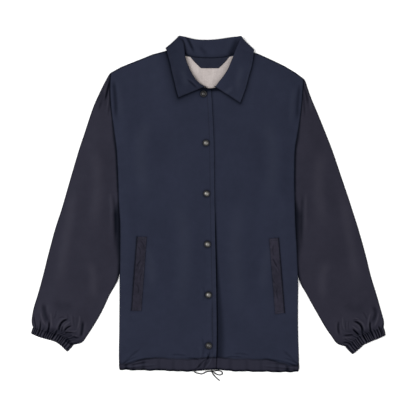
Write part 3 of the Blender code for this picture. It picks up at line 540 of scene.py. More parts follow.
# Dark folds on the collar's stand at the back, and small folds of the pocket welts
STAND_SHADES = table(
    CREASE_COLUMNS,
    (-52.4, 385.2, -44.4, 372.6, -31.7, 346.1, 3.4, 0.75),
    (-59.8, 380.6, -55.9, 358.8, -51.3, 339.2, 3, 0.8),
    (68.3, 381.8, 56.8, 358.8, 47.6, 339.2, 7, 0.42),
    (-19.1, 361.1, -12.2, 351.9, -3, 342.7, 5, 0.3),
    (-44.4, 381.8, -32.9, 377.2, -19.1, 378.3, 2, 0.3),
)
WELT_CREASES = table(
    CREASE_COLUMNS,
    (-153.6, -126.5, -159.4, -134.5, -164, -142.6, 1.6, -0.9),
    (-151.3, -133.4, -155.9, -141.4, -158.2, -151.8, 1.4, 0.6),
    (-150.2, -156.4, -154.8, -165.6, -155.9, -177.1, 1.6, -0.6),
    (-161.7, -96.6, -155.9, -105.8, -157.1, -119.6, 1.6, -0.5),
    (-165.1, -181.7, -159.4, -193.2, -161.7, -207, 1.6, -0.5),
    (-155.9, -82.8, -150.2, -89.7, -145.6, -101.2, 1.6, -0.5),
    (146.5, -124.2, 152.3, -133.4, 156.9, -144.9, 1.6, -0.9),
    (151.1, -138, 156.9, -147.2, 160.3, -156.4, 1.4, 0.6),
    (143.1, -165.6, 147.7, -174.8, 153.4, -181.7, 1.6, -0.7),
    (150, -92, 147.7, -105.8, 151.1, -119.6, 1.6, -0.5),
    (158, -190.9, 156.9, -207, 161.5, -220.8, 1.6, -0.5),
    (166.1, -165.6, 170.7, -174.8, 175.3, -184, 1.6, -0.7),
)
LINING_CREASES = table(
    CREASE_COLUMNS,
    (-40, 317.5, -33, 299, -14.5, 276, 3.6, 0.35),
    (47.5, 317.5, 34, 294.5, 15.5, 271.5, 3.6, 0.3),
    (-5.5, 313, -3, 294.5, -0.5, 271.5, 4.5, 0.25),
    (-21.5, 326.5, -19, 303.5, -10, 280.5, 3, -0.25),
    (24.5, 313, 17.5, 294.5, 8.5, 276, 3, -0.25),
)


def smooth(places, values, at):
    """A smooth curve through the values, by cubic steps between them."""
    at = np.clip(at, places[0], places[-1])
    slopes = np.gradient(values, places)
    i = np.clip(np.searchsorted(places, at, side="right") - 1, 0, len(places) - 2)
    step = places[i + 1] - places[i]
    t = (at - places[i]) / step
    return (
        (2 * t**3 - 3 * t**2 + 1) * values[i]
        + (t**3 - 2 * t**2 + t) * step * slopes[i]
        + (-2 * t**3 + 3 * t**2) * values[i + 1]
        + (t**3 - t**2) * step * slopes[i + 1]
    )


def ramp(distance, width):
    """0 up to no distance, 1 past the width, and an S curve between."""
    t = np.clip(distance / width, 0, 1)
    return t * t * (3 - 2 * t)


def bell(off, width, power=2):
    """1 where off is nothing, and soft to nothing past the width on both sides."""
    return np.exp(-((off / width) ** power))


def side_x(side, height):
    """Where a body side's edge is at a height."""
    return smooth(SIDES["height"], SIDES[side], height)


def hem_y(across):
    """The hem's outline, which the gathers in its channel make a little wavy."""
    wave = 0.55 * np.sin(across / 6.3 + 1.1 * np.sin(across / 31)) + 0.3 * np.sin(across / 3.4)
    return smooth(HEM["across"], HEM["height"], across) + wave * ramp(np.abs(across - 3) - 26, 30)


def edge_x(height):
    """Where the right front's free edge is at a height."""
    return smooth(OVER_EDGE["height"], OVER_EDGE["across"], height)


def side_distance(x, y):
    """How far in from the nearer side's edge a place is."""
    return np.where(x < 0, x - side_x("right", y), side_x("left", y) - x)


def top_distance(x, y):
    """How far a place is below the shoulder line, square to its slope."""
    return 0.92 * (np.interp(x, SHOULDERS["across"], SHOULDERS["height"]) - y)


def body_folds(x, y):
    """The sum of the body's broad soft ridges, each a bell across its line and faded at its ends."""
    total = np.zeros(np.broadcast(x, y).shape)
    for x0, y0, x1, y1, width, height in zip(*BODY_FOLDS.values()):
        length = np.hypot(x1 - x0, y1 - y0)
        along = ((x - x0) * (x1 - x0) + (y - y0) * (y1 - y0)) / length**2
        off = ((x - x0) * (y1 - y0) - (y - y0) * (x1 - x0)) / length
        total += height * bell(off, width) * ramp(along, 0.3) * ramp(1 - along, 0.3)
    return total


def from_line(points, x, y):
    """How far each place is from a line through the points, and at which share of it that line is nearest."""
    nearest = np.full(np.shape(x), 1e9)
    along = np.zeros(np.shape(x))
    for k, ((ax, ay), (bx, by)) in enumerate(zip(points[:-1], points[1:])):
        step_x, step_y = bx - ax, by - ay
        share = ((x - ax) * step_x + (y - ay) * step_y) / (step_x * step_x + step_y * step_y)
        share = np.clip(share, 0, 1)
        off = np.hypot(x - ax - share * step_x, y - ay - share * step_y)
        closer = off < nearest
        nearest = np.where(closer, off, nearest)
        along = np.where(closer, (k + share) / (len(points) - 1), along)
    return nearest, along


def near_line(points, x, y, width):
    """1 on a line through the points and soft to nothing beside it: a bell of the distance to it."""
    return bell(from_line(points, x, y)[0], width)


def creases(rows, x, y):
    """The sum of the creases at each place: a narrow bell less a wide low one, faded at the ends.

    Each runs along the parabola through its three points, drawn as a line of short steps."""
    total = np.zeros(np.shape(x))
    t = np.linspace(0, 1, CREASE_STEPS + 1)
    first, middle, last = 2 * (t - 0.5) * (t - 1), -4 * t * (t - 1), 2 * t * (t - 0.5)
    for x0, y0, x1, y1, x2, y2, width, height in zip(*rows.values()):
        reach = CREASE_REACH * width
        near = (
            (x > min(x0, x1, x2) - reach)
            & (x < max(x0, x1, x2) + reach)
            & (y > min(y0, y1, y2) - reach)
            & (y < max(y0, y1, y2) + reach)
        )
        if not near.any():
            continue
        line = zip(first * x0 + middle * x1 + last * x2, first * y0 + middle * y1 + last * y2)
        off, along = from_line(list(line), x[near], y[near])
        fade = ramp(along + 0.06, 0.3) * ramp(1.06 - along, 0.3)
        total[near] += height * (1.5 * bell(off, width) - 0.5 * bell(off, 2.2 * width)) * fade
    return total


def hollow(height, depth=2.4):
    """How deep in a fold a place is, from the height of its creases."""
    return np.clip(-height / depth, 0, 1)


def back_bottom(x, y):
    """The back's underside: on the floor, but for the tucked sleeves and the collar leaf under it."""
    in_tuck = ramp(TUCKED[1] - y, 50) * ramp(y - TUCKED[0], 34)
    tuck = TUCK_LIFT * in_tuck * (1 - ramp(side_distance(x, y) - 14, 30))
    leaf = LEAF_LIFT * ramp(y - LEAF_FOOT, 70) * (1 - ramp(np.abs(x - NECK_CENTRE) - LEAF_HALF, 70))
    return tuck + leaf


def front_bottom(x, y):
    """The fronts' underside: seamed to the back at the edges, and a little puffed between them."""
    below_seam = top_distance(x, y)
    beside_neck = np.abs(x - NECK_CENTRE) - NECK_HALF
    neck = (1 - ramp(beside_neck, 34)) * ramp(y - NECK_FOOT, 40) * ramp(below_seam - 1, 12)
    edges = ramp(side_distance(x, y), 36) * ramp(below_seam, 34)
    hem = 0.35 + 0.65 * ramp(y - hem_y(x) - 20, 70)
    puff = edges * (BODY_PUFF * hem + body_folds(x, y))
    return back_bottom(x, y) + BACK_WALL + SEAM_GAP + NECK_RISE * neck + puff


def channel_height(x):
    """The drawstring channel's height, which the gathers pinch in at the side seams."""
    from_side = side_distance(x, np.full(np.shape(x), -370.0))
    return CHANNEL_AT_SIDE + (CHANNEL_HEIGHT - CHANNEL_AT_SIDE) * ramp(from_side - 10, 66)


def channel(x, y):
    """The hem's drawstring channel: a raised band, gathered, with a sewn groove along its top."""
    height = y - hem_y(x)
    tall = channel_height(x)
    toward_side = 1 - ramp(side_distance(x, y), 90)
    ripple = 0.34 * np.sin(x / 2.9 + 0.9 * np.sin(x / 17)) + 0.26 * np.sin(x / 5.3 + 1.2)
    ripple = ripple * (0.55 + 0.9 * toward_side)
    inside = ramp(tall + 1 - height, 4)
    groove = -0.75 * bell(height - tall - 1, 2.0)
    pucker = 0.26 * np.sin(x / 2.3 + 1.4 * np.sin(x / 23)) * bell(height - tall - 6, 7)
    low = -0.8 * bell(height, 3.5)
    return (CHANNEL_RAISE + ripple) * inside + groove + pucker + low


def lap(x, y):
    """How far the right front is raised: over the left front, and at its free edge lower down."""
    over = (LAP_RISE + np.maximum(channel(x, y), 0)) * ramp(x - (UNDER_EDGE - 66), 60)
    lifted = EDGE_LIFT * ramp(-20 - y, 130) * ramp(y + 392, 60) * ramp(x - edge_x(y) + 24, 20)
    return over + lifted


def placket(side, x, y):
    """The sewn fold along the front opening, with a shallow groove at its row of stitches."""
    edge = edge_x(y) if side == "right" else np.full(np.shape(y), UNDER_EDGE)
    off = edge - x if side == "right" else x - edge
    groove = -0.22 * bell(off - PLACKET_ROW, 1.8)
    ridge = 0.1 * bell(off - PLACKET_ROW / 2, 3.0)
    return (groove + ridge) * ramp(y - hem_y(x) - CHANNEL_HEIGHT, 8)


def front_top(side, x, y):
    """A front's top: its underside and its wall, with the lap, channel, placket, creases and seams."""
    raised = lap(x, y) if side == "right" else 0
    settle = ramp(side_distance(x, y), 5)
    fine = creases(FRONT_CREASES, x, y) * (0.3 + 0.7 * settle)
    seam = -0.9 * (1 - ramp(side_distance(x, y), 3.4)) - 0.8 * (1 - ramp(top_distance(x, y), 4))
    return front_bottom(x, y) + FRONT_WALL + raised + channel(x, y) + placket(side, x, y) + fine + seam


def under_neck(x, y):
    """The fronts' plain top, which the collar leaf lies on."""
    over = np.where(x < 0, lap(x, y), 0)
    return front_bottom(x, y) + FRONT_WALL + over


def patch(hem, top, first, last):
    """A four-sided sheet filled in from its boundary curves, each an array of points in plan."""
    u = hem[1][:, None]
    v = first[1][None, :]
    grid = []
    for k in (0, 1):
        low, high = hem[0][:, k][:, None], top[0][:, k][:, None]
        near, far = first[0][:, k][None, :], last[0][:, k][None, :]
        corners = (
            (1 - u) * (1 - v) * low[0]
            + u * (1 - v) * low[-1]
            + (1 - u) * v * high[0]
            + u * v * high[-1]
        )
        grid.append((1 - v) * low + v * high + (1 - u) * near + u * far - corners)
    return np.stack(grid, axis=-1)


def stack(x, y, z):
    """Points from their coordinates, each an array or one number for all."""
    return np.stack(np.broadcast_arrays(x, y, z), axis=-1)


def marks(length, *bands):
    """Shares of a length, stepped as each band says up to its end, and closer at both rims."""
    places, start = [0, RIM_STEP], 1.0
    for end, step in bands:
        end = min(end, length - 1.0)
        count = max(1, round((end - start) / step))
        places += list(np.linspace(start, end, count + 1)[:-1])
        start = end
    return np.array(places + [length - 1.0, length - RIM_STEP, length]) / length


def run_along(grid, axis):
    """How far each point of a grid is from the grid's start, measured along its rows or columns."""
    steps = np.cumsum(np.linalg.norm(np.diff(grid, axis=axis), axis=2), axis=axis)
    return np.concatenate([np.zeros_like(steps.take([0], axis)), steps], axis=axis)


def edge_distance(grid):
    """How far each point of a grid is from its nearest side, in millimetres along the grid."""
    from_start = [run_along(grid, axis) for axis in (0, 1)]
    from_end = [np.flip(run_along(np.flip(grid, axis), axis), axis) for axis in (0, 1)]
    return np.minimum.reduce(from_start + from_end)


def rounded(distance, wall):
    """How thick a wall is near its rim, for a half round edge."""
    t = np.clip(distance / (wall * 0.55), 0, 1)
    return wall * np.maximum(np.sqrt(1 - (1 - t) ** 2), 0.22)


def two_faces(x, y, z, thick, wall):
    """A wall's outer and inner grids under its top z, both drawn in alike where it thins at a rim."""
    return stack(x, y, z - (wall - thick) / 2), stack(x, y, z - (wall + thick) / 2)


def wall(name, outer, inner, material, edge=None, wrap_from=None, **masks):
    """A cloth wall between two grids. From row wrap_from on, the last column joins the first.

    Its masks are grids from 0 to 1 that its material reads, alike on both sides. Its map is the
    cloth's own, laid flat: the length along the rows from the middle column, and up the columns."""
    rows, columns = outer.shape[:2]
    wrap_from = rows if wrap_from is None else wrap_from
    count = rows * columns
    number = np.arange(count).reshape(rows, columns)
    run = run_along(outer, 1)
    flat = np.stack([run - run[:, columns // 2][:, None], run_along(outer, 0)], axis=-1)
    quads, maps = [], []

    def quad(numbers, coords, flip=False):
        """Faces between four runs of points, with their places on the map."""
        order = [3, 2, 1, 0] if flip else [0, 1, 2, 3]
        quads.append(np.stack([numbers[k] for k in order], axis=-1).reshape(-1, 4))
        maps.append(np.stack([coords[k] for k in order], axis=-2).reshape(-1, 4, 2))

    def rim(a, b, at_a, at_b, flip=False):
        """Faces across the wall's edge, between its outer and inner points."""
        quad([a, a + count, b + count, b], [at_a, at_a + RIM_MAP, at_b + RIM_MAP, at_b], flip)

    body = (np.s_[:-1, :-1], np.s_[:-1, 1:], np.s_[1:, 1:], np.s_[1:, :-1])
    quad([number[k] for k in body], [flat[k] for k in body])
    quad([number[k] + count for k in body], [flat[k] for k in body], flip=True)
    if wrap_from < rows - 1:
        low, high = np.s_[wrap_from:-1], np.s_[wrap_from + 1 :]
        closing = flat[:, -1] + (1.0, 0.0)
        ring = [number[low, -1], number[low, 0], number[high, 0], number[high, -1]]
        coords = [flat[low, -1], closing[low], closing[high], flat[high, -1]]
        quad(ring, coords)
        quad([n + count for n in ring], coords, flip=True)
    if wrap_from > 0:
        last = min(wrap_from, rows - 1)
        for column, flip in ((0, True), (columns - 1, False)):
            ends = number[:last, column], number[1 : last + 1, column]
            rim(*ends, flat[:last, column], flat[1 : last + 1, column], flip)
    for row, wraps, flip in ((0, wrap_from == 0, False), (rows - 1, wrap_from < rows - 1, True)):
        rim(number[row, :-1], number[row, 1:], flat[row, :-1], flat[row, 1:], flip)
        if wraps:
            rim(number[row, -1:], number[row, :1], flat[row, -1:], flat[row, -1:] + (1.0, 0), flip)
    if 0 < wrap_from < rows - 1:
        rim(number[wrap_from, -1:], number[wrap_from, :1], flat[wrap_from, -1:], flat[wrap_from, -1:])
    points = placed(np.concatenate([outer.reshape(-1, 3), inner.reshape(-1, 3)]))
    if edge is not None:
        masks["rim"] = np.exp(-edge / 2.2)
    for label, values in masks.items():
        values = np.clip(np.broadcast_to(values, (rows, columns)), 0, 1)
        masks[label] = np.tile(values.reshape(-1), 2)
    return piece_from(name, points, np.concatenate(quads), material, np.concatenate(maps) * MM, **masks)


def piece_from(name, points, faces, material, maps=None, **masks):
    """An object made from points in metres and its faces, with its cloth map and its masks."""
    mesh = bpy.data.meshes.new(name)
    mesh.from_pydata(points.tolist(), [], faces.tolist() if hasattr(faces, "tolist") else faces)
    if maps is not None:
        mesh.uv_layers.new(name="UVMap").data.foreach_set("uv", maps.reshape(-1))
    for label, values in masks.items():
        layer = mesh.attributes.new(label, "FLOAT", "POINT")
        layer.data.foreach_set("value", np.ascontiguousarray(values, float))
    shaped = bmesh.new()
    shaped.from_mesh(mesh)
    bmesh.ops.recalc_face_normals(shaped, faces=shaped.faces)
    shaped.to_mesh(mesh)
    shaped.free()
    mesh.shade_smooth()
    mesh.set_sharp_from_angle(angle=1.1)
    piece = bpy.data.objects.new(name, mesh)
    bpy.context.scene.collection.objects.link(piece)
    mesh.materials.append(material)
    return piece


def worn(piece, slot, *nodes):
    """Hangs a piece on the one rigid body, in place of the CAD nodes that it stands for."""
    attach(piece, "root")
    if nodes:
        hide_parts(*nodes)
    return piece


def along_route(run):
    """How far along a route each of its points is."""
    return np.concatenate([[0], np.cumsum(np.linalg.norm(np.diff(run, axis=0), axis=1))])


def stitches(name, runs, material):
    """Rows of sewn stitches as one mesh: each is a few rings of points, small at its two ends."""
    starts, ends = [], []
    for run in runs:
        places = along_route(run)
        if places[-1] < STITCH_LENGTH:
            continue
        at = np.arange(STITCH_LENGTH * 0.6, places[-1] - STITCH_LENGTH * 0.5, STITCH_PITCH)
        for sign, found in ((-0.5, starts), (0.5, ends)):
            shifted = [np.interp(at + sign * STITCH_LENGTH, places, run[:, k]) for k in range(3)]
            found.append(np.stack(shifted, axis=1))
    a, b = np.concatenate(starts), np.concatenate(ends)
    along = (b - a) / np.linalg.norm(b - a, axis=1)[:, None]
    side = np.cross(along, (0, 0, 1.0))
    side /= np.linalg.norm(side, axis=1)[:, None]
    up = np.cross(side, along)
    ring = (np.arange(STITCH_SIDES) * 2 * np.pi / STITCH_SIDES)[None, None, :, None]
    place, size = (np.array(column)[None, :, None, None] for column in zip(*STITCH_RINGS))
    spread = np.cos(ring) * side[:, None, None] + 0.8 * np.sin(ring) * up[:, None, None]
    middle = ((a + b) / 2)[:, None, None]
    points = middle + along[:, None, None] * place * STITCH_LENGTH + spread * STITCH_RADIUS * size
    rings = np.arange(len(STITCH_RINGS) - 1)[None, :, None] * STITCH_SIDES
    first = np.arange(len(a))[:, None, None] * len(STITCH_RINGS) * STITCH_SIDES + rings
    k = np.arange(STITCH_SIDES)[None, None, :]
    q, r = first + k, first + (k + 1) % STITCH_SIDES
    quads = np.stack([q, r, r + STITCH_SIDES, q + STITCH_SIDES], axis=-1).reshape(-1, 4)
    caps = np.concatenate([q[:, 0], q[:, -1] + STITCH_SIDES])
    return piece_from(name, placed(points.reshape(-1, 3)), quads.tolist() + caps.tolist(), material)


def on_grid(grid, row, column):
    """Points between a grid's own, at fractional row and column numbers."""
    row, column = np.broadcast_arrays(np.asarray(row, float), np.asarray(column, float))
    i = np.clip(np.floor(row).astype(int), 0, grid.shape[0] - 2)
    j = np.clip(np.floor(column).astype(int), 0, grid.shape[1] - 2)
    a, b = (row - i)[:, None], (column - j)[:, None]
    return (
        (1 - a) * (1 - b) * grid[i, j]
        + (1 - a) * b * grid[i, j + 1]
        + a * (1 - b) * grid[i + 1, j]
        + a * b * grid[i + 1, j + 1]
    )


def panel_plan(top, first, last, across, up):
    """A panel's grid in plan, between its two long edges, the hem and its top boundary."""
    crown = np.stack([np.interp(across, top["share"], top[k]) for k in ("across", "height")], axis=1)
    foot_x = first(FOOT) + across * (last(FOOT) - first(FOOT))
    foot = np.stack([foot_x, hem_y(foot_x)], axis=1)

    def edge(curve, end):
        """One long edge's points, from the hem to the panel's corner at the top."""
        y = foot[end, 1] + up * (crown[end, 1] - foot[end, 1])
        return np.stack([curve(y), y], axis=1)

    near, far = edge(first, 0), edge(last, -1)
    crown[0], crown[-1] = near[-1], far[-1]
    foot[0], foot[-1] = near[0], far[0]
    return patch((foot, across), (crown, across), (near, up), (far, up))


def right_side(y):
    """The right side seam, as a line up the panel."""
    return side_x("right", y)


def left_side(y):
    """The left side seam, as a line up the panel."""
    return side_x("left", y)


def under_edge(y):
    """The left front's straight edge, which lies under the right front."""
    return np.full(np.shape(y), UNDER_EDGE)


# The materials: two shared groups, the weave and the wear, with each cloth's own values


def group_of(name, inputs, outputs):
    """An empty shader node group with its sockets, and its two end nodes."""
    group = bpy.data.node_groups.new(name, "ShaderNodeTree")
    for label, kind, value in inputs:
        socket = group.interface.new_socket(label, in_out="INPUT", socket_type=kind)
        if value is not None:
            socket.default_value = value
    for label in outputs:
        group.interface.new_socket(label, in_out="OUTPUT", socket_type="NodeSocketFloat")
    return group, group.nodes.new("NodeGroupInput").outputs, group.nodes.new("NodeGroupOutput")


def fill(tree, made, sockets):
    """Sets a node's sockets, named or numbered, to numbers or links them to other nodes' sockets."""
    for key, value in sockets.items():
        socket = made.inputs[int(key[1:]) if key[0] == "_" else key.replace("_", " ")]
        if isinstance(value, bpy.types.NodeSocket):
            tree.links.new(value, socket)
        else:
            socket.default_value = value


def node(tree, kind, settings=None, **sockets):
    """A node with its settings and its sockets."""
    made = tree.nodes.new(kind)
    for key, value in (settings or {}).items():
        setattr(made, key, value)
    fill(tree, made, sockets)
    return made


def maths(tree, operation, *values):
    """One Math node, put out as its socket."""
    numbered = {f"_{i}": v for i, v in enumerate(values)}
    return node(tree, "ShaderNodeMath", {"operation": operation}, **numbered).outputs[0]


def noise(tree, place, scale, detail, **sockets):
    """Soft noise over a place, as the socket of its value."""
    made = node(tree, "ShaderNodeTexNoise", None, Vector=place, Scale=scale, Detail=detail, **sockets)
    return made.outputs["Fac"]


def spread(tree, value, low, high, to_low=0.0, to_high=1.0):
    """A value's range from low to high stretched to another, and held there past its ends."""
    sockets = dict(From_Min=low, From_Max=high, To_Min=to_low, To_Max=to_high)
    return node(tree, "ShaderNodeMapRange", None, Value=value, **sockets).outputs[0]


def scaled(tree, vector, scale):
    """A place or a colour multiplied by one number."""
    return node(tree, "ShaderNodeVectorMath", {"operation": "SCALE"}, _0=vector, Scale=scale).outputs[0]


def mixed(tree, share, *colours):
    """The first colour gone over to the second by a share."""
    first, second = (c if isinstance(c, bpy.types.NodeSocket) else (*c, 1) for c in colours)
    return node(tree, "ShaderNodeMix", {"data_type": "RGBA"}, _0=share, _6=first, _7=second).outputs[2]


def bumped(tree, height, strength, distance, **normal):
    """A surface's normals, raised by a height."""
    sockets = dict(Height=height, Strength=strength, Distance=distance)
    return node(tree, "ShaderNodeBump", None, **sockets, **normal).outputs[0]


def mask_of(tree, name):
    """A piece's own mask, by its name."""
    return node(tree, "ShaderNodeAttribute", {"attribute_name": name}).outputs["Fac"]


def map_of(tree):
    """A piece's own cloth map, in metres."""
    return node(tree, "ShaderNodeUVMap", {"uv_map": "UVMap"}).outputs[0]


def place_of(tree):
    """Where a point of the piece is, in metres."""
    return node(tree, "ShaderNodeTexCoord").outputs["Object"]


def shared(tree, group, **sockets):
    """The outputs of a shared group that is filled with a material's own values."""
    return node(tree, "ShaderNodeGroup", {"node_tree": group}, **sockets).outputs


def material_of(name):
    """A new material and its node tree."""
    made = bpy.data.materials.new(name)
    made.use_nodes = True
    return made, made.node_tree


def surface(tree, **sockets):
    """Sets the sockets of the tree's own shader."""
    fill(tree, tree.nodes["Principled BSDF"], sockets)


def make_weave_group():
    """A plain weave from two crossed waves over the cloth's own map, with slubs along both threads."""
    inputs = (
        ("Map", "NodeSocketVector", None),
        ("Pitch", "NodeSocketFloat", 0.0005),
        ("Slub", "NodeSocketFloat", 0.4),
    )
    group, given, end = group_of("woven_cloth", inputs, ("Height", "Thread"))
    split = node(group, "ShaderNodeSeparateXYZ", None, Vector=given["Map"])
    turn = maths(group, "DIVIDE", 3.14159265, given["Pitch"])
    warp = maths(group, "SINE", maths(group, "MULTIPLY", split.outputs["X"], turn))
    weft = maths(group, "SINE", maths(group, "MULTIPLY", split.outputs["Y"], turn))
    crossed = maths(group, "MULTIPLY", warp, weft)
    slubs = []
    for stretch in ((900.0, 45.0, 1.0), (45.0, 900.0, 1.0)):
        drawn = node(group, "ShaderNodeMapping", {"vector_type": "POINT"}, Vector=given["Map"], Scale=stretch)
        slubs.append(noise(group, drawn.outputs[0], 1.0, 2.0))
    slub = maths(group, "MULTIPLY", maths(group, "SUBTRACT", maths(group, "ADD", *slubs), 1.0), given["Slub"])
    height = maths(group, "ADD", maths(group, "MULTIPLY_ADD", crossed, 0.5, 0.5), slub)
    thread = maths(group, "MULTIPLY_ADD", maths(group, "ABSOLUTE", crossed), 0.5, slub)
    fill(group, end, dict(Height=height, Thread=thread))
    return group


def make_wear_group():
    """Soft patches of fading at two sizes, rubbing at the rims that a rim mask gives, and fine crushing."""
    inputs = (
        ("Place", "NodeSocketVector", None),
        ("Rim", "NodeSocketFloat", 0.0),
        ("Scale", "NodeSocketFloat", 1.0),
    )
    group, given, end = group_of("cloth_wear", inputs, ("Fade", "Rubbed", "Crush"))
    place = scaled(group, given["Place"], given["Scale"])
    broad = noise(group, place, 11.0, 3.0, Roughness=0.55)
    small = noise(group, place, 70.0, 4.0, Roughness=0.6)
    fade = maths(group, "ADD", maths(group, "MULTIPLY", broad, 0.6), maths(group, "MULTIPLY", small, 0.4))
    patchy = spread(group, small, 0.42, 0.62)
    rubbed = maths(group, "MULTIPLY", maths(group, "MULTIPLY", patchy, given["Rim"]), 0.3)
    crush = noise(group, place, 38.0, 5.0, Roughness=0.62, Distortion=0.6)
    fill(group, end, dict(Fade=fade, Rubbed=rubbed, Crush=crush))
    return group


WEAVE = make_weave_group()
WEAR = make_wear_group()

# The hem band's colour, the colour that painted shade takes a dark cloth to deep in a fold, and how far it
# goes there
BAND_COLOUR = (0.0170, 0.0166, 0.0262)
NAVY_PAINTED_SHADE = (0.0, 0.0004, 0.0022)
FOLD_SHADE = 0.97


def cloth(
    name,
    dark,
    light,
    rubbed,
    roughness,
    deep=NAVY_PAINTED_SHADE,
    pitch=0.00055,
    slub=0.5,
    relief=0.00010,
    crush=0.0007,
    sheen=0.0,
):
    """A woven cloth: faded patches between dark and light, woven, and darkened by painted shade from its
    shade mask.

    It is rubbed lighter at its rims, and its crest mask paints highlights on ridges in the same rubbed
    colour.
    The pitch is one thread's, the relief is the weave's and the crush is the height of its fine
    wrinkles, all in metres."""
    made, tree = material_of(name)
    weave = shared(tree, WEAVE, Map=map_of(tree), Pitch=pitch, Slub=slub)
    wear = shared(tree, WEAR, Place=place_of(tree), Rim=mask_of(tree, "rim"), Scale=1.0)
    base = mixed(tree, spread(tree, wear["Fade"], 0.36, 0.64), dark, light)
    toned = scaled(tree, base, spread(tree, weave["Thread"], 0.0, 0.6, 0.90, 1.06))
    banded = mixed(tree, mask_of(tree, "tint"), toned, BAND_COLOUR)
    # Painted shade: the shade mask takes the colour towards the cloth's deep colour
    kept = spread(tree, mask_of(tree, "shade"), 0.0, 1.0, 1.0, 1 - FOLD_SHADE)
    shaded = mixed(tree, maths(tree, "SUBTRACT", 1.0, kept), banded, deep)
    # The rims' rubbing and the crest mask's painted highlights, both held back where painted shade falls
    clear = maths(tree, "MULTIPLY", wear["Rubbed"], kept)
    lit = maths(tree, "MAXIMUM", clear, maths(tree, "MULTIPLY", mask_of(tree, "crest"), kept))
    crushed = bumped(tree, wear["Crush"], 0.55, crush)
    surface(
        tree,
        Base_Color=mixed(tree, lit, shaded, rubbed),
        Roughness=spread(tree, wear["Crush"], 0.3, 0.7, *roughness),
        Normal=bumped(tree, weave["Height"], 0.5, relief, Normal=crushed),
        Sheen_Weight=sheen,
        Sheen_Roughness=0.45,
        Specular_IOR_Level=0.045,
        Specular_Tint=(0.62, 0.74, 1.0, 1),
    )
    return made


def metal_of(name, dark, light, ring, rubbed, roughness):
    """Dark plated metal, rubbed lighter in patches, with fine uneven wear.

    Its shade mask takes it to the ring colour: on the cap's dark flange, and as painted shade.
    """
    made, tree = material_of(name)
    wear = shared(tree, WEAR, Place=place_of(tree), Rim=mask_of(tree, "rim"), Scale=6.0)
    base = mixed(tree, spread(tree, wear["Fade"], 0.35, 0.65), dark, light)
    ringed = mixed(tree, mask_of(tree, "shade"), base, ring)
    surface(
        tree,
        Base_Color=mixed(tree, maths(tree, "MULTIPLY", wear["Rubbed"], 0.4), ringed, rubbed),
        Roughness=spread(tree, wear["Crush"], 0.3, 0.7, *roughness),
        Normal=bumped(tree, wear["Crush"], 0.3, 0.00006),
        Metallic=1.0,
    )
    return made


def thread_of(name, dark, light):
    """Twisted sewing thread: slanted plies over each stitch, and a little lint."""
    made, tree = material_of(name)
    place = place_of(tree)
    bands = {"wave_type": "BANDS", "bands_direction": "DIAGONAL"}
    plies = node(tree, "ShaderNodeTexWave", bands, Vector=place, Scale=900.0, Distortion=1.5).outputs["Fac"]
    mask = maths(tree, "MULTIPLY", plies, noise(tree, place, 300.0, 2.0))
    surface(
        tree,
        Base_Color=mixed(tree, mask, dark, light),
        Normal=bumped(tree, plies, 0.5, 0.0001),
        Roughness=0.7,
        Specular_IOR_Level=0.12,
    )
    return made


def braid_of(name, dark, light):
    """A round braid over the cord's own map: two slanted sets of strands that cross."""
    made, tree = material_of(name)
    split = node(tree, "ShaderNodeSeparateXYZ", None, Vector=map_of(tree))
    along = maths(tree, "MULTIPLY", split.outputs["X"], 3400.0)
    around = maths(tree, "MULTIPLY", split.outputs["Y"], 4900.0)
    left = maths(tree, "SINE", maths(tree, "ADD", along, around))
    right = maths(tree, "SINE", maths(tree, "SUBTRACT", along, around))
    strands = maths(tree, "MULTIPLY_ADD", maths(tree, "MULTIPLY", left, right), 0.5, 0.5)
    wear = shared(tree, WEAR, Place=place_of(tree), Rim=0.4, Scale=3.0)
    mask = maths(tree, "MULTIPLY", strands, wear["Fade"])
    surface(
        tree,
        Base_Color=mixed(tree, mask, dark, light),
        Normal=bumped(tree, strands, 0.7, 0.00035),
        Roughness=0.72,
        Specular_IOR_Level=0.06,
    )
    return made


SHELL = cloth(
    "shell",
    dark=(0.0144, 0.0166, 0.0296),
    light=(0.0170, 0.0195, 0.0346),
    rubbed=(0.03, 0.034, 0.05),
    roughness=(0.5, 0.6),
)
# The sleeves' and cuffs' cloth: the shell cloth recoloured a little purplish, a painted sheen for how light
# falls on their grain
SLEEVE_SHELL_PAINTED_SHEEN = cloth(
    "sleeve_shell",
    dark=(0.0168, 0.0158, 0.0243),
    light=(0.0198, 0.0186, 0.0283),
    rubbed=(0.035, 0.033, 0.045),
    roughness=(0.48, 0.58),
)
WELT_CLOTH = cloth(
    "welt_shell",
    dark=(0.0105, 0.0098, 0.0150),
    light=(0.0245, 0.0222, 0.0345),
    rubbed=(0.036, 0.034, 0.048),
    roughness=(0.5, 0.62),
    crush=0.0030,
)
FACING_CLOTH = cloth(
    "facing",
    dark=(0.0118, 0.0133, 0.0233),
    light=(0.0148, 0.0168, 0.0273),
    rubbed=(0.03, 0.03, 0.045),
    roughness=(0.6, 0.7),
    pitch=0.0005,
    slub=0.4,
    relief=0.00008,
    crush=0.0005,
)
LINING_CLOTH = cloth(
    "lining",
    dark=(0.328, 0.290, 0.278),
    light=(0.448, 0.402, 0.388),
    rubbed=(0.47, 0.43, 0.41),
    roughness=(0.82, 0.92),
    deep=(0.045, 0.038, 0.036),
    pitch=0.0034,
    slub=0.9,
    relief=0.00060,
    crush=0.0014,
    sheen=0.1,
)
SNAP_METAL = metal_of(
    "snap_metal",
    dark=(0.12, 0.116, 0.11),
    light=(0.17, 0.164, 0.155),
    ring=(0.02, 0.02, 0.022),
    rubbed=(0.3, 0.28, 0.26),
    roughness=(0.40, 0.54),
)
THREAD = thread_of("thread", (0.008, 0.009, 0.015), (0.026, 0.028, 0.042))
CORD_BRAID = braid_of("drawcord", (0.004, 0.004, 0.005), (0.022, 0.022, 0.024))


# The camera, straight above, and a small studio: a pale floor and soft lights

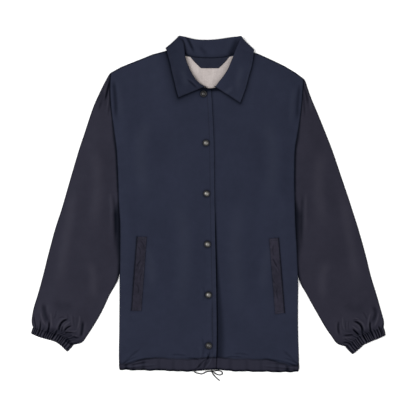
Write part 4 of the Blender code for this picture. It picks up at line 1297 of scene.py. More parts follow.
CAMERA_PLACE = (-0.0008, -0.0075, 2.256)
FLOOR_REACH = 9
FLOOR_DROP = 0.0003
SKY_STRENGTH = 0.42
# Each light's place, size in metres and power in watts
LIGHTS = (("key", (-1.5, 0.3, 2.6), 1.8, 77), ("fill", (1.7, -0.8, 2.5), 2.8, 50))


def make_camera():
    """A long lens over the garment's middle, looking straight down."""
    data = bpy.data.cameras.new("camera")
    data.lens = 85
    data.sensor_width = 36
    data.clip_end = 20
    camera = bpy.data.objects.new("camera", data)
    camera.location = CAMERA_PLACE
    bpy.context.scene.collection.objects.link(camera)
    bpy.context.scene.camera = camera


def make_light(name, place, size, energy):
    """A round soft light of the size in metres, turned to the middle."""
    data = bpy.data.lights.new(name, "AREA")
    data.shape = "DISK"
    data.size = size
    data.energy = energy
    light = bpy.data.objects.new(name, data)
    light.location = place
    light.rotation_euler = (-Vector(place)).to_track_quat("-Z", "Y").to_euler()
    bpy.context.scene.collection.objects.link(light)


def make_floor():
    """A plain pale floor just under the garment, a little mottled."""
    made, tree = material_of("floor")
    tone = mixed(tree, noise(tree, place_of(tree), 3.0, 2.0), (0.97, 0.97, 0.97), (0.99, 0.99, 0.99))
    surface(tree, Base_Color=tone, Roughness=0.95, Specular_IOR_Level=0.1)
    mesh = bpy.data.meshes.new("floor")
    turns = ((-1, -1), (1, -1), (1, 1), (-1, 1))
    corners = [(x * FLOOR_REACH, y * FLOOR_REACH, -FLOOR_DROP) for x, y in turns]
    mesh.from_pydata(corners, [], [(0, 1, 2, 3)])
    floor = bpy.data.objects.new("floor", mesh)
    bpy.context.scene.collection.objects.link(floor)
    mesh.materials.append(made)


def make_studio():
    """The floor, a key light and a fill light under an even white sky, with plain colours."""
    for light in LIGHTS:
        make_light(*light)
    world = bpy.data.worlds.new("studio")
    world.use_nodes = True
    sky = world.node_tree.nodes["Background"].inputs
    sky["Color"].default_value = (1.0, 1.0, 1.0, 1)
    sky["Strength"].default_value = SKY_STRENGTH
    bpy.context.scene.world = world
    make_floor()
    bpy.context.scene.view_settings.view_transform = "Standard"
    bpy.context.scene.view_settings.look = "None"


# The drawcord: two cords as it shows, one tied through the knot to its tail, and one looped back to it


def smooth_route(route, step):
    """A smooth curve through a route's points, read at even steps along it."""
    route = np.array(route, float)
    places = along_route(route)
    at = np.linspace(0, places[-1], int(np.ceil(places[-1] / step)) + 1)
    return np.stack([smooth(places, route[:, k], at) for k in range(3)], axis=1)


def cord_along(name, line, radius, material, closed=False, around=14):
    """A round tube of rings square to its line. The rings close in to a soft point at its ends."""
    along = np.gradient(line, axis=0)
    if closed:
        along = (np.roll(line, -1, axis=0) - np.roll(line, 1, axis=0)) / 2
    along /= np.linalg.norm(along, axis=1)[:, None]
    side = np.cross(along, (0.05, 0.02, 1.0))
    side /= np.linalg.norm(side, axis=1)[:, None]
    up = np.cross(side, along)
    count = len(line)
    places = along_route(line)
    from_end = np.minimum(places, places[-1] - places)
    size = np.full(count, radius) if closed else rounded(from_end, 2 * radius) / 2
    turn = (np.arange(around) * 2 * np.pi / around)[None, :, None]
    ring = np.cos(turn) * side[:, None] + np.sin(turn) * up[:, None]
    points = line[:, None] + size[:, None, None] * ring
    i = np.arange(count if closed else count - 1)[:, None]
    k = np.arange(around)[None, :]
    this, following = i * around, (i + 1) % count * around
    corners = (this + k, this + (k + 1) % around, following + (k + 1) % around, following + k)
    faces = np.stack(np.broadcast_arrays(*corners), axis=-1).reshape(-1, 4).tolist()
    step = 2 * np.pi * radius / around
    low, high = places[i], np.append(places, places[-1] + 1)[i + 1]
    flat = [np.broadcast_arrays(at, (k + n) * step) for at, n in ((low, 0), (low, 1), (high, 1), (high, 0))]
    maps = np.stack([np.stack(corner, axis=-1) for corner in flat], axis=2).reshape(-1, 2)
    if not closed:
        faces += [list(range(around)), list(range((count - 1) * around, count * around))]
        maps = np.concatenate([maps, np.zeros((2 * around, 2))])
    return piece_from(name, placed(points.reshape(-1, 3)), faces, material, maps * MM)


def make_drawcord():
    """The cord's two runs, each along its smoothed route, and the knot that joins them."""
    run, tail = CORD_ROUTES["drawcord_run"], CORD_ROUTES["drawcord_tail"]
    tied = smooth_route((*run, *tail), CORD_STEP)
    cord = cord_along("drawcord_tied", tied, CORD_DIAMETER / 2, CORD_BRAID)
    worn(cord, "drawcord", "drawcord_run", "drawcord_tail")
    length = along_route(tied)[-1] * MM
    placed(tied[0])
    placed(tied)

    looped = smooth_route(CORD_ROUTES["drawcord_loop"], CORD_STEP)
    loop = cord_along("drawcord_looped", looped, CORD_DIAMETER / 2, CORD_BRAID)
    worn(loop, "drawcord", "drawcord_loop")
    length = along_route(looped)[-1] * MM
    placed(looped[0])
    placed(looped)

    # A tight overhand knot: a cord along three crossing lobes, pressed into the knot's own size
    t = np.arange(KNOT_STEPS) * 2 * np.pi / KNOT_STEPS
    centre, half = np.array(KNOT["centre"]), np.array(KNOT["half"]) - KNOT_CORD_RADIUS
    lobes = (np.sin(t) + 1.3 * np.sin(2 * t), np.cos(t) - 1.3 * np.cos(2 * t), -1.2 * np.sin(3 * t))
    line = np.stack(lobes, axis=1)
    line = centre + line / np.abs(line).max(axis=0) * half
    tie = cord_along("drawcord_tie", line, KNOT_CORD_RADIUS, CORD_BRAID, closed=True)
    worn(tie, "drawcord", "drawcord_knot")


# The body

# The least that a cloth's area may be of its flat size's
LEAST_SHARE = 0.31


def cut_size(grid):
    """A cloth grid's flat size and area in metres: its longest row and column, and its faces' sum."""
    along, across = (np.linalg.norm(np.diff(grid, axis=k), axis=2).sum(axis=k).max() for k in (0, 1))
    a, b = grid[1:, 1:] - grid[:-1, :-1], grid[1:, :-1] - grid[:-1, 1:]
    area = np.linalg.norm(np.cross(a, b), axis=2).sum() / 2
    return (along * MM, across * MM), area * MM * MM


def laid(grid):
    """Works out a cloth's flat size and area from its own grid, and keeps neither."""
    flat, area = cut_size(grid)
    area = min(max(area, LEAST_SHARE * flat[0] * flat[1]), flat[0] * flat[1])


def make_back():
    """The back as one wall on the floor, from its hem up to the shoulders and the neck."""
    across, up = marks(420, (44, 3), (376, 4.6), (419, 3)), marks(700, (60, 3), (560, 6), (699, 3.4))
    plan = panel_plan(BACK_TOP, right_side, left_side, across, up)
    x, y = plan[..., 0], plan[..., 1]
    distance = edge_distance(plan)
    thick = rounded(distance, BACK_WALL)
    low = back_bottom(x, y) + (BACK_WALL - thick) / 2
    outer, inner = stack(x, y, low + thick), stack(x, y, low)
    piece = worn(wall("back", outer, inner, SHELL, distance), "shell", "back_panel")
    laid(outer)


def leaf_outline(rows):
    """The leaf's edge in plan, from the collar's end at the centre front round to the shoulder."""
    line = [(rows["roll_x"][0], rows["roll_y"][0])]
    return line + list(zip(rows["leaf_x"][:7], rows["leaf_y"][:7]))


def snap_places():
    """Each snap's middle in plan, from the collar down, one distance in from the front's edge."""
    heights = [SNAP_TOP] + [SNAP_SECOND - SNAP_PITCH * i for i in range(SNAP_COUNT - 1)]
    return [(float(edge_x(np.array([y]))[0]) - SNAP_FROM_EDGE, y) for y in heights]


def front_shade(side, x, y):
    """Where a front is in the shade of its folds, its seams and what lies on it."""
    # In the creases, under the collar, along the shoulder seam and down the side
    shade = hollow(creases(FRONT_CREASES, x, y), 2.0) * 0.8
    shade += near_line(UNDER_COLLAR, x, y, 5.0)
    shade += 0.7 * bell(top_distance(x, y), 2.3)
    high = ramp(y + 172, 20)
    shade += (0.35 + 0.3 * high) * bell(side_distance(x, y), 1.4 + 0.4 * high)
    # At the channel: its row of stitches, the hem's edge, its gathers and its ends at the side seams
    tall = channel_height(x)
    height = y - hem_y(x)
    stitched = bell(height - tall - 0.6, 1.5)
    shade += (0.55 + 0.3 * np.sin(x / 23 + 1.3)) * stitched + 1.05 * bell(height, 4.2)
    to_side = 1 - ramp(side_distance(x, y), 80)
    shade += hollow(channel(x, y) - CHANNEL_RAISE, 0.9) * (0.55 + 0.5 * to_side) * ramp(tall - height, 4)
    shade += 0.5 * ramp(44 - height, 30) * bell(side_distance(x, y), 4.6)
    # Beside the collar's leaf and round the welt
    leaf = leaf_outline(COLLARS[side])
    shade += 0.65 * near_line(leaf, x, y, 3.4)
    depth, width = LEAF_SHADOW[side]
    shade += depth * near_line(leaf, x, y, width)
    opening, sewn = welt_edges(side)
    shade += 0.5 * near_line(opening, x, y, 1.6)
    shade += 0.25 * near_line(np.array([opening[0], sewn[0], sewn[1], opening[1]]), x, y, 2.4)
    if side == "left":
        # Beside the lap's edge, wider and darker lower down
        past = np.maximum(x - edge_x(y), 0)
        wide = 4.6 + 12.5 * ramp(-90 - y, 240)
        lower = ramp(30 - y, 120)
        shade += (0.2 + 0.42 * lower) * bell(past, wide, 4) * ramp(height - tall + 2, 6)
        shade += (0.15 + 0.35 * lower) * bell(past, 2.6)
    else:
        # At the placket's stitches, and in a ring round each snap
        shade += 0.22 * bell(edge_x(y) - x - PLACKET_ROW, 1.1) * ramp(height - tall, 8)
        for at_x, at_y in snap_places():
            shade += 0.7 * bell(np.hypot(x - at_x, y - at_y) - 6.5, 3.2)
    return np.clip(shade, 0, 1)


def band_tint(x, y):
    """The hem's band, a tone nearer the sleeves' than the fronts'."""
    return ramp(channel_height(x) + 2 - (y - hem_y(x)), 3)


# How a front's width is stepped, closer where it is lapped
FRONT_STEPS = {
    "right": marks(220, (176, 2.3), (219, 1.15)),
    "left": marks(228, (150, 2.3), (190, 1.5), (227, 3)),
}


def make_front(side, top, first, last):
    """A front as one wall over the back, from its side seam to its free edge."""
    across, up = FRONT_STEPS[side], marks(650, (42, 1.25), (560, 3.4), (649, 2.4))
    plan = panel_plan(top, first, last, across, up)
    x, y = plan[..., 0], plan[..., 1]
    distance = edge_distance(plan)
    thick = rounded(distance, FRONT_WALL)
    floor_z = back_bottom(x, y) + BACK_WALL + 0.15
    z = np.maximum(front_top(side, x, y) - (FRONT_WALL - thick) / 2, floor_z + 0.5)
    outer = stack(x, y, z)
    inner = stack(x, y, np.maximum(z - thick, np.minimum(floor_z, z - 0.4)))
    # Painted shade from front_shade, the band's tone, and painted highlights on the creases' ridges
    masks = dict(
        shade=front_shade(side, x, y),
        tint=band_tint(x, y),
        crest=0.3 * hollow(-creases(FRONT_CREASES, x, y), 1.0),
    )
    made = wall(f"front_panel_{side}", outer, inner, SHELL, distance, **masks)
    piece = worn(made, "shell", f"front_{side}")
    laid(outer)


def over_front(side, x, y, above):
    """A line on a front's top, a little above it."""
    return stack(x, y, front_top(side, x, y) + above)


def make_front_stitches():
    """The row down the placket, and the row along the top of the hem's channel on both fronts."""
    y = np.linspace(-352, 258, 300)
    hems = []
    for side, ends in (("right", (-201, 12)), ("left", (-12, 205))):
        x = np.linspace(*ends, 150)
        hems.append(over_front(side, x, hem_y(x) + channel_height(x) + 1.0, 0.05))
    right = [over_front("right", edge_x(y) - PLACKET_ROW, y, 0.12), hems[0]]
    past_lap = hems[1][:, 0] > 19
    worn(stitches("front_stitches_right", right, THREAD), "shell")
    worn(stitches("front_stitches_left", [hems[1][past_lap]], THREAD), "shell")


# The sleeves and cuffs

# How far the cuff's middle is drawn up towards the sleeve, out of the line between its corners
CUFF_BOW = table(
    ("share", "right", "left"),
    (0.0, 0.0, 0.0),
    (0.13, 4.1, 1.8),
    (0.25, 7.0, 3.6),
    (0.38, 8.0, 6.0),
    (0.5, 6.3, 5.0),
    (0.6, 4.3, 4.2),
    (0.79, 1.2, 1.7),
    (1.0, 0.0, 0.0),
)


def pleats(shares, to_cuff):
    """Small uneven pleats with round crests and sharp hollows, and how they fade up the sleeve."""
    phase = 17 * (shares + 0.012 * np.sin(19.5 * shares + 1) + 0.006 * np.sin(48 * shares))
    crest = np.abs(np.sin(np.pi * phase)) ** 0.75
    reach = 15 + 8 * np.sin(2.1 * phase + 0.5)
    return crest, 1 - ramp(to_cuff, reach)


def bowed(grids, side, shares, to_cuff, sections):
    """Draws the middle of the gathered end up by the bow's table, faded along the sleeve."""
    outer_x, outer_y, inner_x, inner_y = (sections[k][0] for k in EDGES)
    along = np.array([outer_y - inner_y, inner_x - outer_x]) * -OUTWARD[side]
    along /= np.linalg.norm(along)
    crest, fade = pleats(shares, to_cuff)
    bow = smooth(CUFF_BOW["share"], CUFF_BOW[side], shares) * (1 - ramp(to_cuff, 70))
    amount = bow + 0.7 * (0.6 - crest) * fade
    for grid in grids:
        grid[..., :2] += amount[..., None] * along


def tube(lines, closed, thick_at, wall_size, raised, shares, upper, crease_rows):
    """A flattened tube's outer and inner walls, row by row along it.

    The lines are its outer and inner edges in plan. The shares go from the inner edge over the top to
    the outer fold, where upper is true, and back along the floor. An edge is a half ellipse whose
    height is two walls and the gap between them. thick_at is the wall at each row, which thins to a
    round rim at the ends."""
    outer_x, outer_y, inner_x, inner_y = (line[:, None] for line in lines)
    thick = 2 * wall_size + FOLD_GAP
    width = np.hypot(outer_x - inner_x, outer_y - inner_y)
    closed = closed[:, None]
    thin = (wall_size - thick_at[:, None]) / 2

    def fullness(share):
        """How full an edge's ellipse is at each share, 0 at a fold and 1 in the flat."""
        return np.sqrt(1 - (1 - np.clip(share * width / FOLD_REACH, 0, 1)) ** 2)

    def ring(inset, height):
        """Points of one wall, its edges set in by inset and its half height about the middle."""
        end_inset = inset * closed / width
        share = end_inset + shares * (1 - inset / width - end_inset)
        x = inner_x + share * (outer_x - inner_x)
        y = inner_y + share * (outer_y - inner_y)
        within = (share - end_inset) / (1 - inset / width - end_inset)
        full = fullness(1 - within) * (closed * fullness(within) + 1 - closed)
        return x, y, thick / 2 + np.where(upper, 1, -1) * height * full

    x, y, z = ring(thin, thick / 2 - thin)
    within = ramp(shares * width, 5) * ramp((1 - shares) * width, 6)
    extra = raised + sum(creases(rows, x, y) for rows in crease_rows) * within
    extra = np.where(upper, np.maximum(extra, -1.6), 0)
    outer = stack(x, y, z + extra)
    x, y, z = ring(wall_size - thin, FOLD_GAP / 2 + thin)
    return outer, stack(x, y, z + np.maximum(extra, -0.2))


# A sleeve's puff along its length: the distance from the cuff, and the share of the full puff there
PUFF_ALONG = table(
    ("to_cuff", "share"),
    (0, 0.25),
    (18, 0.7),
    (55, 1.0),
    (120, 0.8),
    (260, 0.55),
    (480, 0.5),
    (660, 0.5),
)
# The armhole's place for the sleeve's middle line, the gathered end's length and how far a sleeve is tucked
ARMHOLE_X = 207
GATHERED = 92
ARMHOLE_TUCK = 0.6


def sleeve_rows(side, sections):
    """The sleeve's rows from the armhole to the cuff, closer together at the gathered end.

    They are its outer and inner edge lines, whether it is closed there, and the length left to the cuff
    along its middle. Above the closing row the inner edge runs along the armhole."""
    places = np.arange(len(sections["closed"]), dtype=float)
    closing = int(np.argmax(sections["closed"]))
    fine = np.linspace(0, places[-1], 1601)
    is_open = places < closing
    inner_at = {
        "x": np.where(is_open, OUTWARD[side] * ARMHOLE_X, sections["inner_x"]),
        "y": np.where(is_open, sections["outer_y"], sections["inner_y"]),
    }
    halfway = [(sections["outer_" + k] + inner_at[k]) / 2 for k in "xy"]
    length = along_route(np.stack([smooth(places, line, fine) for line in halfway], axis=1))
    total = length[-1]
    remaining = total - length
    steps = (np.arange(1.0, GATHERED, 1.7), np.arange(GATHERED, total - 1, 5.2))
    wanted = np.concatenate([[0, RIM_STEP], *steps, [total - 1, total - RIM_STEP, total]])
    at = np.sort(np.append(np.interp(wanted, remaining[::-1], fine[::-1]), closing))
    at = at[np.append(True, np.diff(at) > 1e-6)]
    outer_x, outer_y, inner_x, inner_y = (smooth(places, sections[k], at) for k in EDGES)
    on_armhole = side_x(side, inner_y) - OUTWARD[side] * ARMHOLE_TUCK
    below = smooth(places[closing:], sections["inner_x"][closing:], at)
    inner_x = np.where(at < closing, on_armhole, below)
    return (outer_x, outer_y, inner_x, inner_y), (at >= closing).astype(float), np.interp(at, fine, remaining)


def make_sleeve(side, sections, crease_rows):
    """A one-piece sleeve as a flattened tube, open along the armhole and gathered at the cuff."""
    lines, closed, to_cuff = sleeve_rows(side, sections)
    to_end = np.minimum(to_cuff, to_cuff[0] - to_cuff)
    thick_at = np.maximum(rounded(to_end, SLEEVE_WALL), 0.6 * SLEEVE_WALL * (to_cuff < 5))
    flat = np.linspace(0.036, 0.964, 84)
    across = np.concatenate([[0, 0.004, 0.012, 0.024], flat, [0.976, 0.988, 0.996, 1]])
    under = np.concatenate([[0.996, 0.985, 0.96], np.linspace(0.93, 0.07, 16), [0.04, 0.015, 0.004]])
    shares = np.concatenate([across, under])[None, :]
    upper = (np.arange(shares.size) < len(across))[None, :]
    outer_x, outer_y, inner_x, inner_y = lines
    width = np.hypot(outer_x - inner_x, outer_y - inner_y)[:, None]
    from_inner, from_outer = shares * width, (1 - shares) * width
    puff = SLEEVE_PUFF * np.interp(to_cuff, PUFF_ALONG["to_cuff"], PUFF_ALONG["share"])[:, None]
    raised = puff * ramp(from_inner - 8 * closed[:, None], 46) * ramp(from_outer, 46)
    crest, fade = pleats(shares, to_cuff[:, None])
    raised += 1.5 * (crest - 0.5) * fade * ramp(shares, 0.04) * ramp(1 - shares, 0.04)
    outer, inner = tube(lines, closed, thick_at, SLEEVE_WALL, raised, shares, upper, crease_rows)
    shade = sleeve_shade(side, outer[..., 1], from_inner, from_outer, closed[:, None], upper)
    shade += 0.85 * (1 - crest) ** 1.1 * fade + 0.28 * bell(to_cuff[:, None], 16)
    folds = sum(creases(rows, outer[..., 0], outer[..., 1]) for rows in crease_rows)
    shade += 0.9 * hollow(folds)
    lit = (0.6 * hollow(-folds, 1.0) + 0.45 * crest**6 * fade) * upper
    bowed((outer, inner), side, shares, to_cuff[:, None], CUFFS[side])
    round_tube = run_along(outer, 1)
    to_armhole = np.where(closed[:, None] > 0, 50, np.minimum(round_tube, round_tube[:, -1:] - round_tube))
    distance = np.minimum(to_end[:, None], to_armhole)
    wrap_from = int(np.argmax(closed))
    masks = dict(shade=shade, crest=lit)
    made = wall(f"sleeve_shell_{side}", outer, inner, SLEEVE_SHELL_PAINTED_SHEEN, distance, wrap_from, **masks)
    piece = worn(made, "sleeve_shell", f"sleeve_{side}")
    laid(outer)


# The width of the dark band beside the body, by height: the sleeve lies under the body's edge
ARMHOLE_SHADE = table(
    ("height", "width", "depth"),
    (-205, 3, 0.3),
    (-165, 4.5, 0.8),
    (-129, 7, 0.95),
    (-100, 13, 1.0),
    (-60, 17, 1.0),
    (-25, 17, 1.0),
    (-8, 10, 0.95),
    (9, 5, 0.9),
    (32, 3.8, 1.0),
    (120, 4.4, 1.0),
    (150, 5.5, 0.9),
    (200, 2.2, 0.9),
    (285, 2.0, 0.9),
)
SHOULDER_SHADE = {"right": 0.34, "left": 0.1}


def sleeve_shade(side, y, from_inner, from_outer, closed, upper):
    """Where a sleeve is in the shade: beside the body, and a little at its folds and below."""
    wide, deep = (np.interp(y, ARMHOLE_SHADE["height"], ARMHOLE_SHADE[k]) for k in ("width", "depth"))
    beside = deep * bell(from_inner, wide, 3)
    beside = beside + SHOULDER_SHADE[side] * ramp(y - 205, 50)
    at_folds = 0.5 * bell(from_outer, 2.4) + 0.5 * closed * bell(from_inner, 2.4)
    return np.where(upper, np.maximum(beside, at_folds), 0.3)


def make_cuff(side, sections, crease_rows):
    """A short elastic tube: the gathers of the sleeve go on over it to its free edge."""
    down = marks(CUFF_LENGTH, (14, 0.75))
    places = np.linspace(0, 1, len(sections["swell"]))
    outer_x, outer_y, inner_x, inner_y, swell = (smooth(places, v, down) for v in sections.values())
    # The first rows go on up inside the sleeve's end, a little lower than it
    tucked = 1 - ramp(down * CUFF_LENGTH, 1.2)
    for line in (outer_x, inner_x):
        line += tucked * 1.5 * -OUTWARD[side] * 0.42
    for line in (outer_y, inner_y):
        line += tucked * 1.5 * 0.9
    across = np.concatenate([[0, 0.005, 0.012], np.linspace(0.02, 0.98, 110), [0.988, 0.995, 1]])
    under = np.concatenate([[0.995, 0.985], np.linspace(0.96, 0.04, 30), [0.015, 0.005]])
    shares = np.concatenate([across, under])[None, :]
    upper = (np.arange(shares.size) < len(across))[None, :]
    to_edge = (1 - down) * CUFF_LENGTH
    thick_at = rounded(np.minimum(to_edge, CUFF_LENGTH - to_edge), CUFF_WALL)
    crest = pleats(shares, 0 * shares)[0]
    raised = 0.6 + swell[:, None] * 0.5 + 2.4 * (crest - 0.35) - 0.8 * tucked[:, None]
    raised = raised * ramp(shares, 0.03) * ramp(1 - shares, 0.03)
    lines = (outer_x, outer_y, inner_x, inner_y)
    outer, inner = tube(lines, np.ones(len(down)), thick_at, CUFF_WALL, raised, shares, upper, crease_rows)
    bowed((outer, inner), side, shares, 0 * shares, sections)
    folds = sum(creases(rows, outer[..., 0], outer[..., 1]) for rows in crease_rows)
    shade = (0.26 + 1.0 * (1 - crest) ** 0.9 + 0.9 * hollow(folds)) * (0.5 + 0.5 * upper)
    lit = (0.75 * crest**6 + 0.5 * hollow(-folds, 1.0)) * upper * swell[:, None] ** 0.3
    distance = np.repeat(to_edge[:, None], shares.size, axis=1)
    made = wall(f"cuff_band_{side}", outer, inner, SLEEVE_SHELL_PAINTED_SHEEN, distance, 0, shade=shade, crest=lit)
    piece = worn(made, "sleeve_shell", f"cuff_{side}")
    laid(outer)


# The collar


def collar_rows(at):
    """The collar's key points from its right end round the back to its left end."""
    joined = {k: np.concatenate([COLLAR_RIGHT[k], COLLAR_LEFT[k][::-1]]) for k in COLLAR_COLUMNS}
    places = np.arange(len(joined["turn"]), dtype=float)
    return {k: smooth(places, v, at * places[-1]) for k, v in joined.items()}


def collar_middle(rows, stand, roll_steps, leaf):
    """The middle surface of the collar: up the stand, round the roll line and down the leaf."""
    neck = np.stack([rows["neck_x"], rows["neck_y"], rows["neck_z"]], axis=1)
    roll = np.stack([rows["roll_x"], rows["roll_y"], rows["roll_z"]], axis=1)
    up = roll - neck
    up[:, 2] = 0
    up /= np.linalg.norm(up, axis=1)[:, None]
    turn = np.radians(rows["turn"])
    aside = np.stack([rows["leaf_x"], rows["leaf_y"]], axis=1) - roll[:, :2]
    aside /= np.linalg.norm(aside, axis=1)[:, None]
    out = np.concatenate([aside * np.cos(turn)[:, None], np.sin(turn)[:, None]], axis=1)
    centre = roll - ROLL_RADIUS * up
    inside, outside = centre - ROLL_RADIUS * out, centre + ROLL_RADIUS * out

    stand = stand[None, :, None]
    part_stand = neck[:, None] * (1 - stand) + inside[:, None] * stand
    arc = np.radians(np.linspace(-90, 90, roll_steps + 2)[1:-1])[None, :, None]
    around = np.cos(arc) * up[:, None] + np.sin(arc) * out[:, None]
    part_roll = centre[:, None] + ROLL_RADIUS * around
    leaf = leaf[None, :]
    x = outside[:, :1] * (1 - leaf) + rows["leaf_x"][:, None] * leaf
    y = outside[:, 1:2] * (1 - leaf) + rows["leaf_y"][:, None] * leaf
    share_over = (np.sin(turn)[:, None] + 1) / 2
    rest_over = under_neck(x, y) + SEAM_GAP + 0.2 + COLLAR_WALL / 2
    rest_under = np.full(x.shape, COLLAR_WALL / 2 + 0.05)
    rest = rest_over * share_over + rest_under * (1 - share_over)
    fall = (1 - leaf) ** (3.6 - 1.8 * share_over)
    z = rest + (outside[:, 2:3] - rest[:, :1]) * fall
    z = z + creases(COLLAR_CREASES, x, y) * ramp(share_over - 0.9, 0.1) * ramp(1 - leaf, 0.1)
    return np.concatenate([part_stand, part_roll, stack(x, y, z)], axis=1)


def make_collar():
    """The collar as one wall about its middle surface, with a row of stitches round its leaf."""
    along = marks(COLLAR_LENGTH, (469, 2.6))
    stand = np.concatenate([[0, 0.01], np.linspace(0.04, 1, 13)])
    leaf = np.concatenate([np.linspace(0, 0.975, 24), [0.987, 0.996, 1]])
    roll_steps = 9
    middle = collar_middle(collar_rows(along), stand, roll_steps, leaf)
    distance = edge_distance(middle)
    half = rounded(distance, COLLAR_WALL)[..., None] / 2
    normal = np.cross(np.gradient(middle, axis=0), np.gradient(middle, axis=1))
    normal /= np.linalg.norm(normal, axis=2)[:, :, None]
    outer, inner = middle + normal * half, middle - normal * half

    # Painted shade inside the stand, at its foot and folds, and on the leaf's edge, ends, folds and right
    # half
    x, y = middle[..., 0], middle[..., 1]
    column = np.arange(middle.shape[1])[None, :]
    from_ends = np.minimum(along, 1 - along)
    to_front = 1 - ramp(0.27 - from_ends, 0.06)[:, None]
    on_stand = column < len(stand) + 2
    stand_folds = creases(STAND_SHADES, x, y)
    side_stand = 0.85 * ramp(len(stand) + 4 - column, 5) * (1 - to_front)
    back_stand = on_stand * np.clip(1.25 * stand_folds + 0.75 * bell(column, 2.4), 0, 1) * to_front
    at_ends = 0.6 * bell(from_ends[:, None] * COLLAR_LENGTH, 3.0)
    leaf_edge = np.maximum(0.5 * bell(distance, 1.1), at_ends) * (~on_stand)
    folds = creases(COLLAR_CREASES, x, y) * (~on_stand)
    leaf_shade = 0.26 * (x < 0) * (~on_stand)
    shade = np.clip(side_stand + back_stand + leaf_edge + leaf_shade + 0.8 * hollow(folds, 1.2), 0, 1)
    # Painted highlights beside the folds of the leaf and the stand
    lit = np.maximum(0.45 * hollow(-folds, 1.0), 0.9 * hollow(stand_folds, 1.0) * on_stand * to_front)
    made = wall("collar_fold", outer, inner, SHELL, distance, shade=shade, crest=lit)
    piece = worn(made, "shell", "collar")
    laid(middle)

    # The stitches run 6 mm in from the leaf's edge and from both of its ends
    shown = outer if outer[30, -4, 2] > inner[30, -4, 2] else inner
    numbers = np.arange(shown.shape[1])[::-1]
    runs = []
    for rows in (np.arange(4, int(0.36 * len(along))), np.arange(int(0.64 * len(along)), len(along) - 4)):
        from_edge = run_along(shown[rows, ::-1], 1)
        at = np.array([np.interp(6.0, d, numbers) for d in from_edge])
        runs.append(on_grid(shown, rows, at) + STITCH_RISE)
    at = np.linspace(len(stand) + roll_steps + 1, numbers[0] - 4, 60)
    runs += [on_grid(shown, row, at) + STITCH_RISE for row in (3.2, len(along) - 4.2)]
    worn(stitches("collar_stitches", runs, THREAD), "shell")


# The pocket welts, the lining and the facing


def welt_edges(side):
    """The two long edges of a welt in plan, each from its top to its foot: the opening and the sewn one."""
    return [np.stack([WELTS[side][k + "_x"], WELTS[side][k + "_y"]], axis=1) for k in ("open", "sewn")]


def make_welt(side):
    """A welt as one wall on the front, gaping a little at its opening, with its stitches and bar tacks."""
    down = marks(WELT_LENGTH, (169, 2.0))
    over = marks(WELT_WIDTH, (21.4, 0.9))
    u, v = down[:, None, None], over[None, :, None]
    opening, sewn = ((1 - u) * e[0] + u * e[1] for e in welt_edges(side))
    plan = (1 - v) * opening + v * sewn
    x, y = plan[..., 0], plan[..., 1]
    distance = edge_distance(plan)
    folds = creases(WELT_CREASES, x, y)
    from_opening = over * WELT_WIDTH
    gape = 0.5 * ramp(1 - over, 0.5)[None, :] * np.sin(np.pi * down)[:, None]
    body = 0.35 * np.sin(np.pi * over)[None, :] + gape
    seam = -0.35 * bell(from_opening - WELT_ROWS[0], 0.8) - 0.3 * bell(from_opening - WELT_ROWS[1], 0.8)
    z = front_top(side, x, y) + 0.25 + WELT_WALL + body + seam[None, :] + folds
    outer, inner = two_faces(x, y, z, rounded(distance, WELT_WALL), WELT_WALL)
    # Painted shade in the gap at the opening, a little at the rim and in the folds; painted highlights on
    # fold ridges
    shade = 0.95 * bell(from_opening - 1.4, 1.1)[None, :] + 0.15 * bell(distance, 1.0)
    masks = dict(shade=shade + 0.7 * hollow(folds, 0.9), crest=0.4 * hollow(-folds, 0.7))
    made = wall(f"welt_{side}", outer, inner, WELT_CLOTH, distance, **masks)
    piece = worn(made, "sleeve_shell", f"pocket_welt_{side}")
    laid(outer)

    rows = np.linspace(2.5, len(down) - 3.5, 200)
    columns = np.interp(np.array(WELT_ROWS) / WELT_WIDTH, over, np.arange(len(over)))
    runs = [on_grid(outer, rows, column) + STITCH_RISE for column in columns]
    across = np.linspace(2.5, len(over) - 3.5, 40)
    for row in (4.0, len(down) - 5.0):
        runs += [on_grid(outer, row + shift, across) + (0, 0, 0.2) for shift in (-0.35, 0, 0.35)]
    worn(stitches(f"welt_stitches_{side}", runs, THREAD), "sleeve_shell")


def throat(side, front):
    """The line where the collar's roll crosses the lining, from the centre front up."""
    rows = COLLARS[side]
    return [front, *zip(rows["roll_x"][1:6], rows["roll_y"][1:6])]


def make_lining():
    """The part of the back lining that shows in the neck, on the inside of the back."""
    across = marks(184, (183, 2.2))
    along = NECK_CENTRE + (across * 2 - 1) * LINING["half_width"]
    crown = np.interp(along, BACK_TOP["across"], BACK_TOP["height"]) - 1.0
    shoulder = np.interp(along, SHOULDERS["across"], SHOULDERS["height"]) - 16
    crown = np.minimum(crown, shoulder) - 3.2 * ramp(FACING["top_half"] - np.abs(along - FACING["centre"]), 4)
    down = marks(125, (124, 2.2))[None, :]
    x = np.repeat(along[:, None], down.size, axis=1)
    y = crown[:, None] * (1 - down) + LINING["foot"] * down
    distance = edge_distance(stack(x, y, 0))
    thick = rounded(distance, LINING_WALL)
    fine = creases(LINING_CREASES, x, y)
    low = back_bottom(x, y) + BACK_WALL + LINING_GAP
    z = low + LINING_WALL + np.maximum(fine, -0.6)
    outer = stack(x, y, z - (LINING_WALL - thick) / 2)
    inner = stack(x, y, np.maximum(z - (LINING_WALL + thick) / 2, low - 0.1))
    fronts = (throat("right", (-4, 268)), throat("left", (12, 268)))
    beside = np.maximum(*(near_line(line, x, y, 1.8) for line in fronts))
    shade = 0.3 * beside + 0.3 * hollow(fine, 0.9)
    made = wall("lining_shown", outer, inner, LINING_CLOTH, distance, shade=shade)
    piece = worn(made, "lining", "back_lining")
    laid(outer)


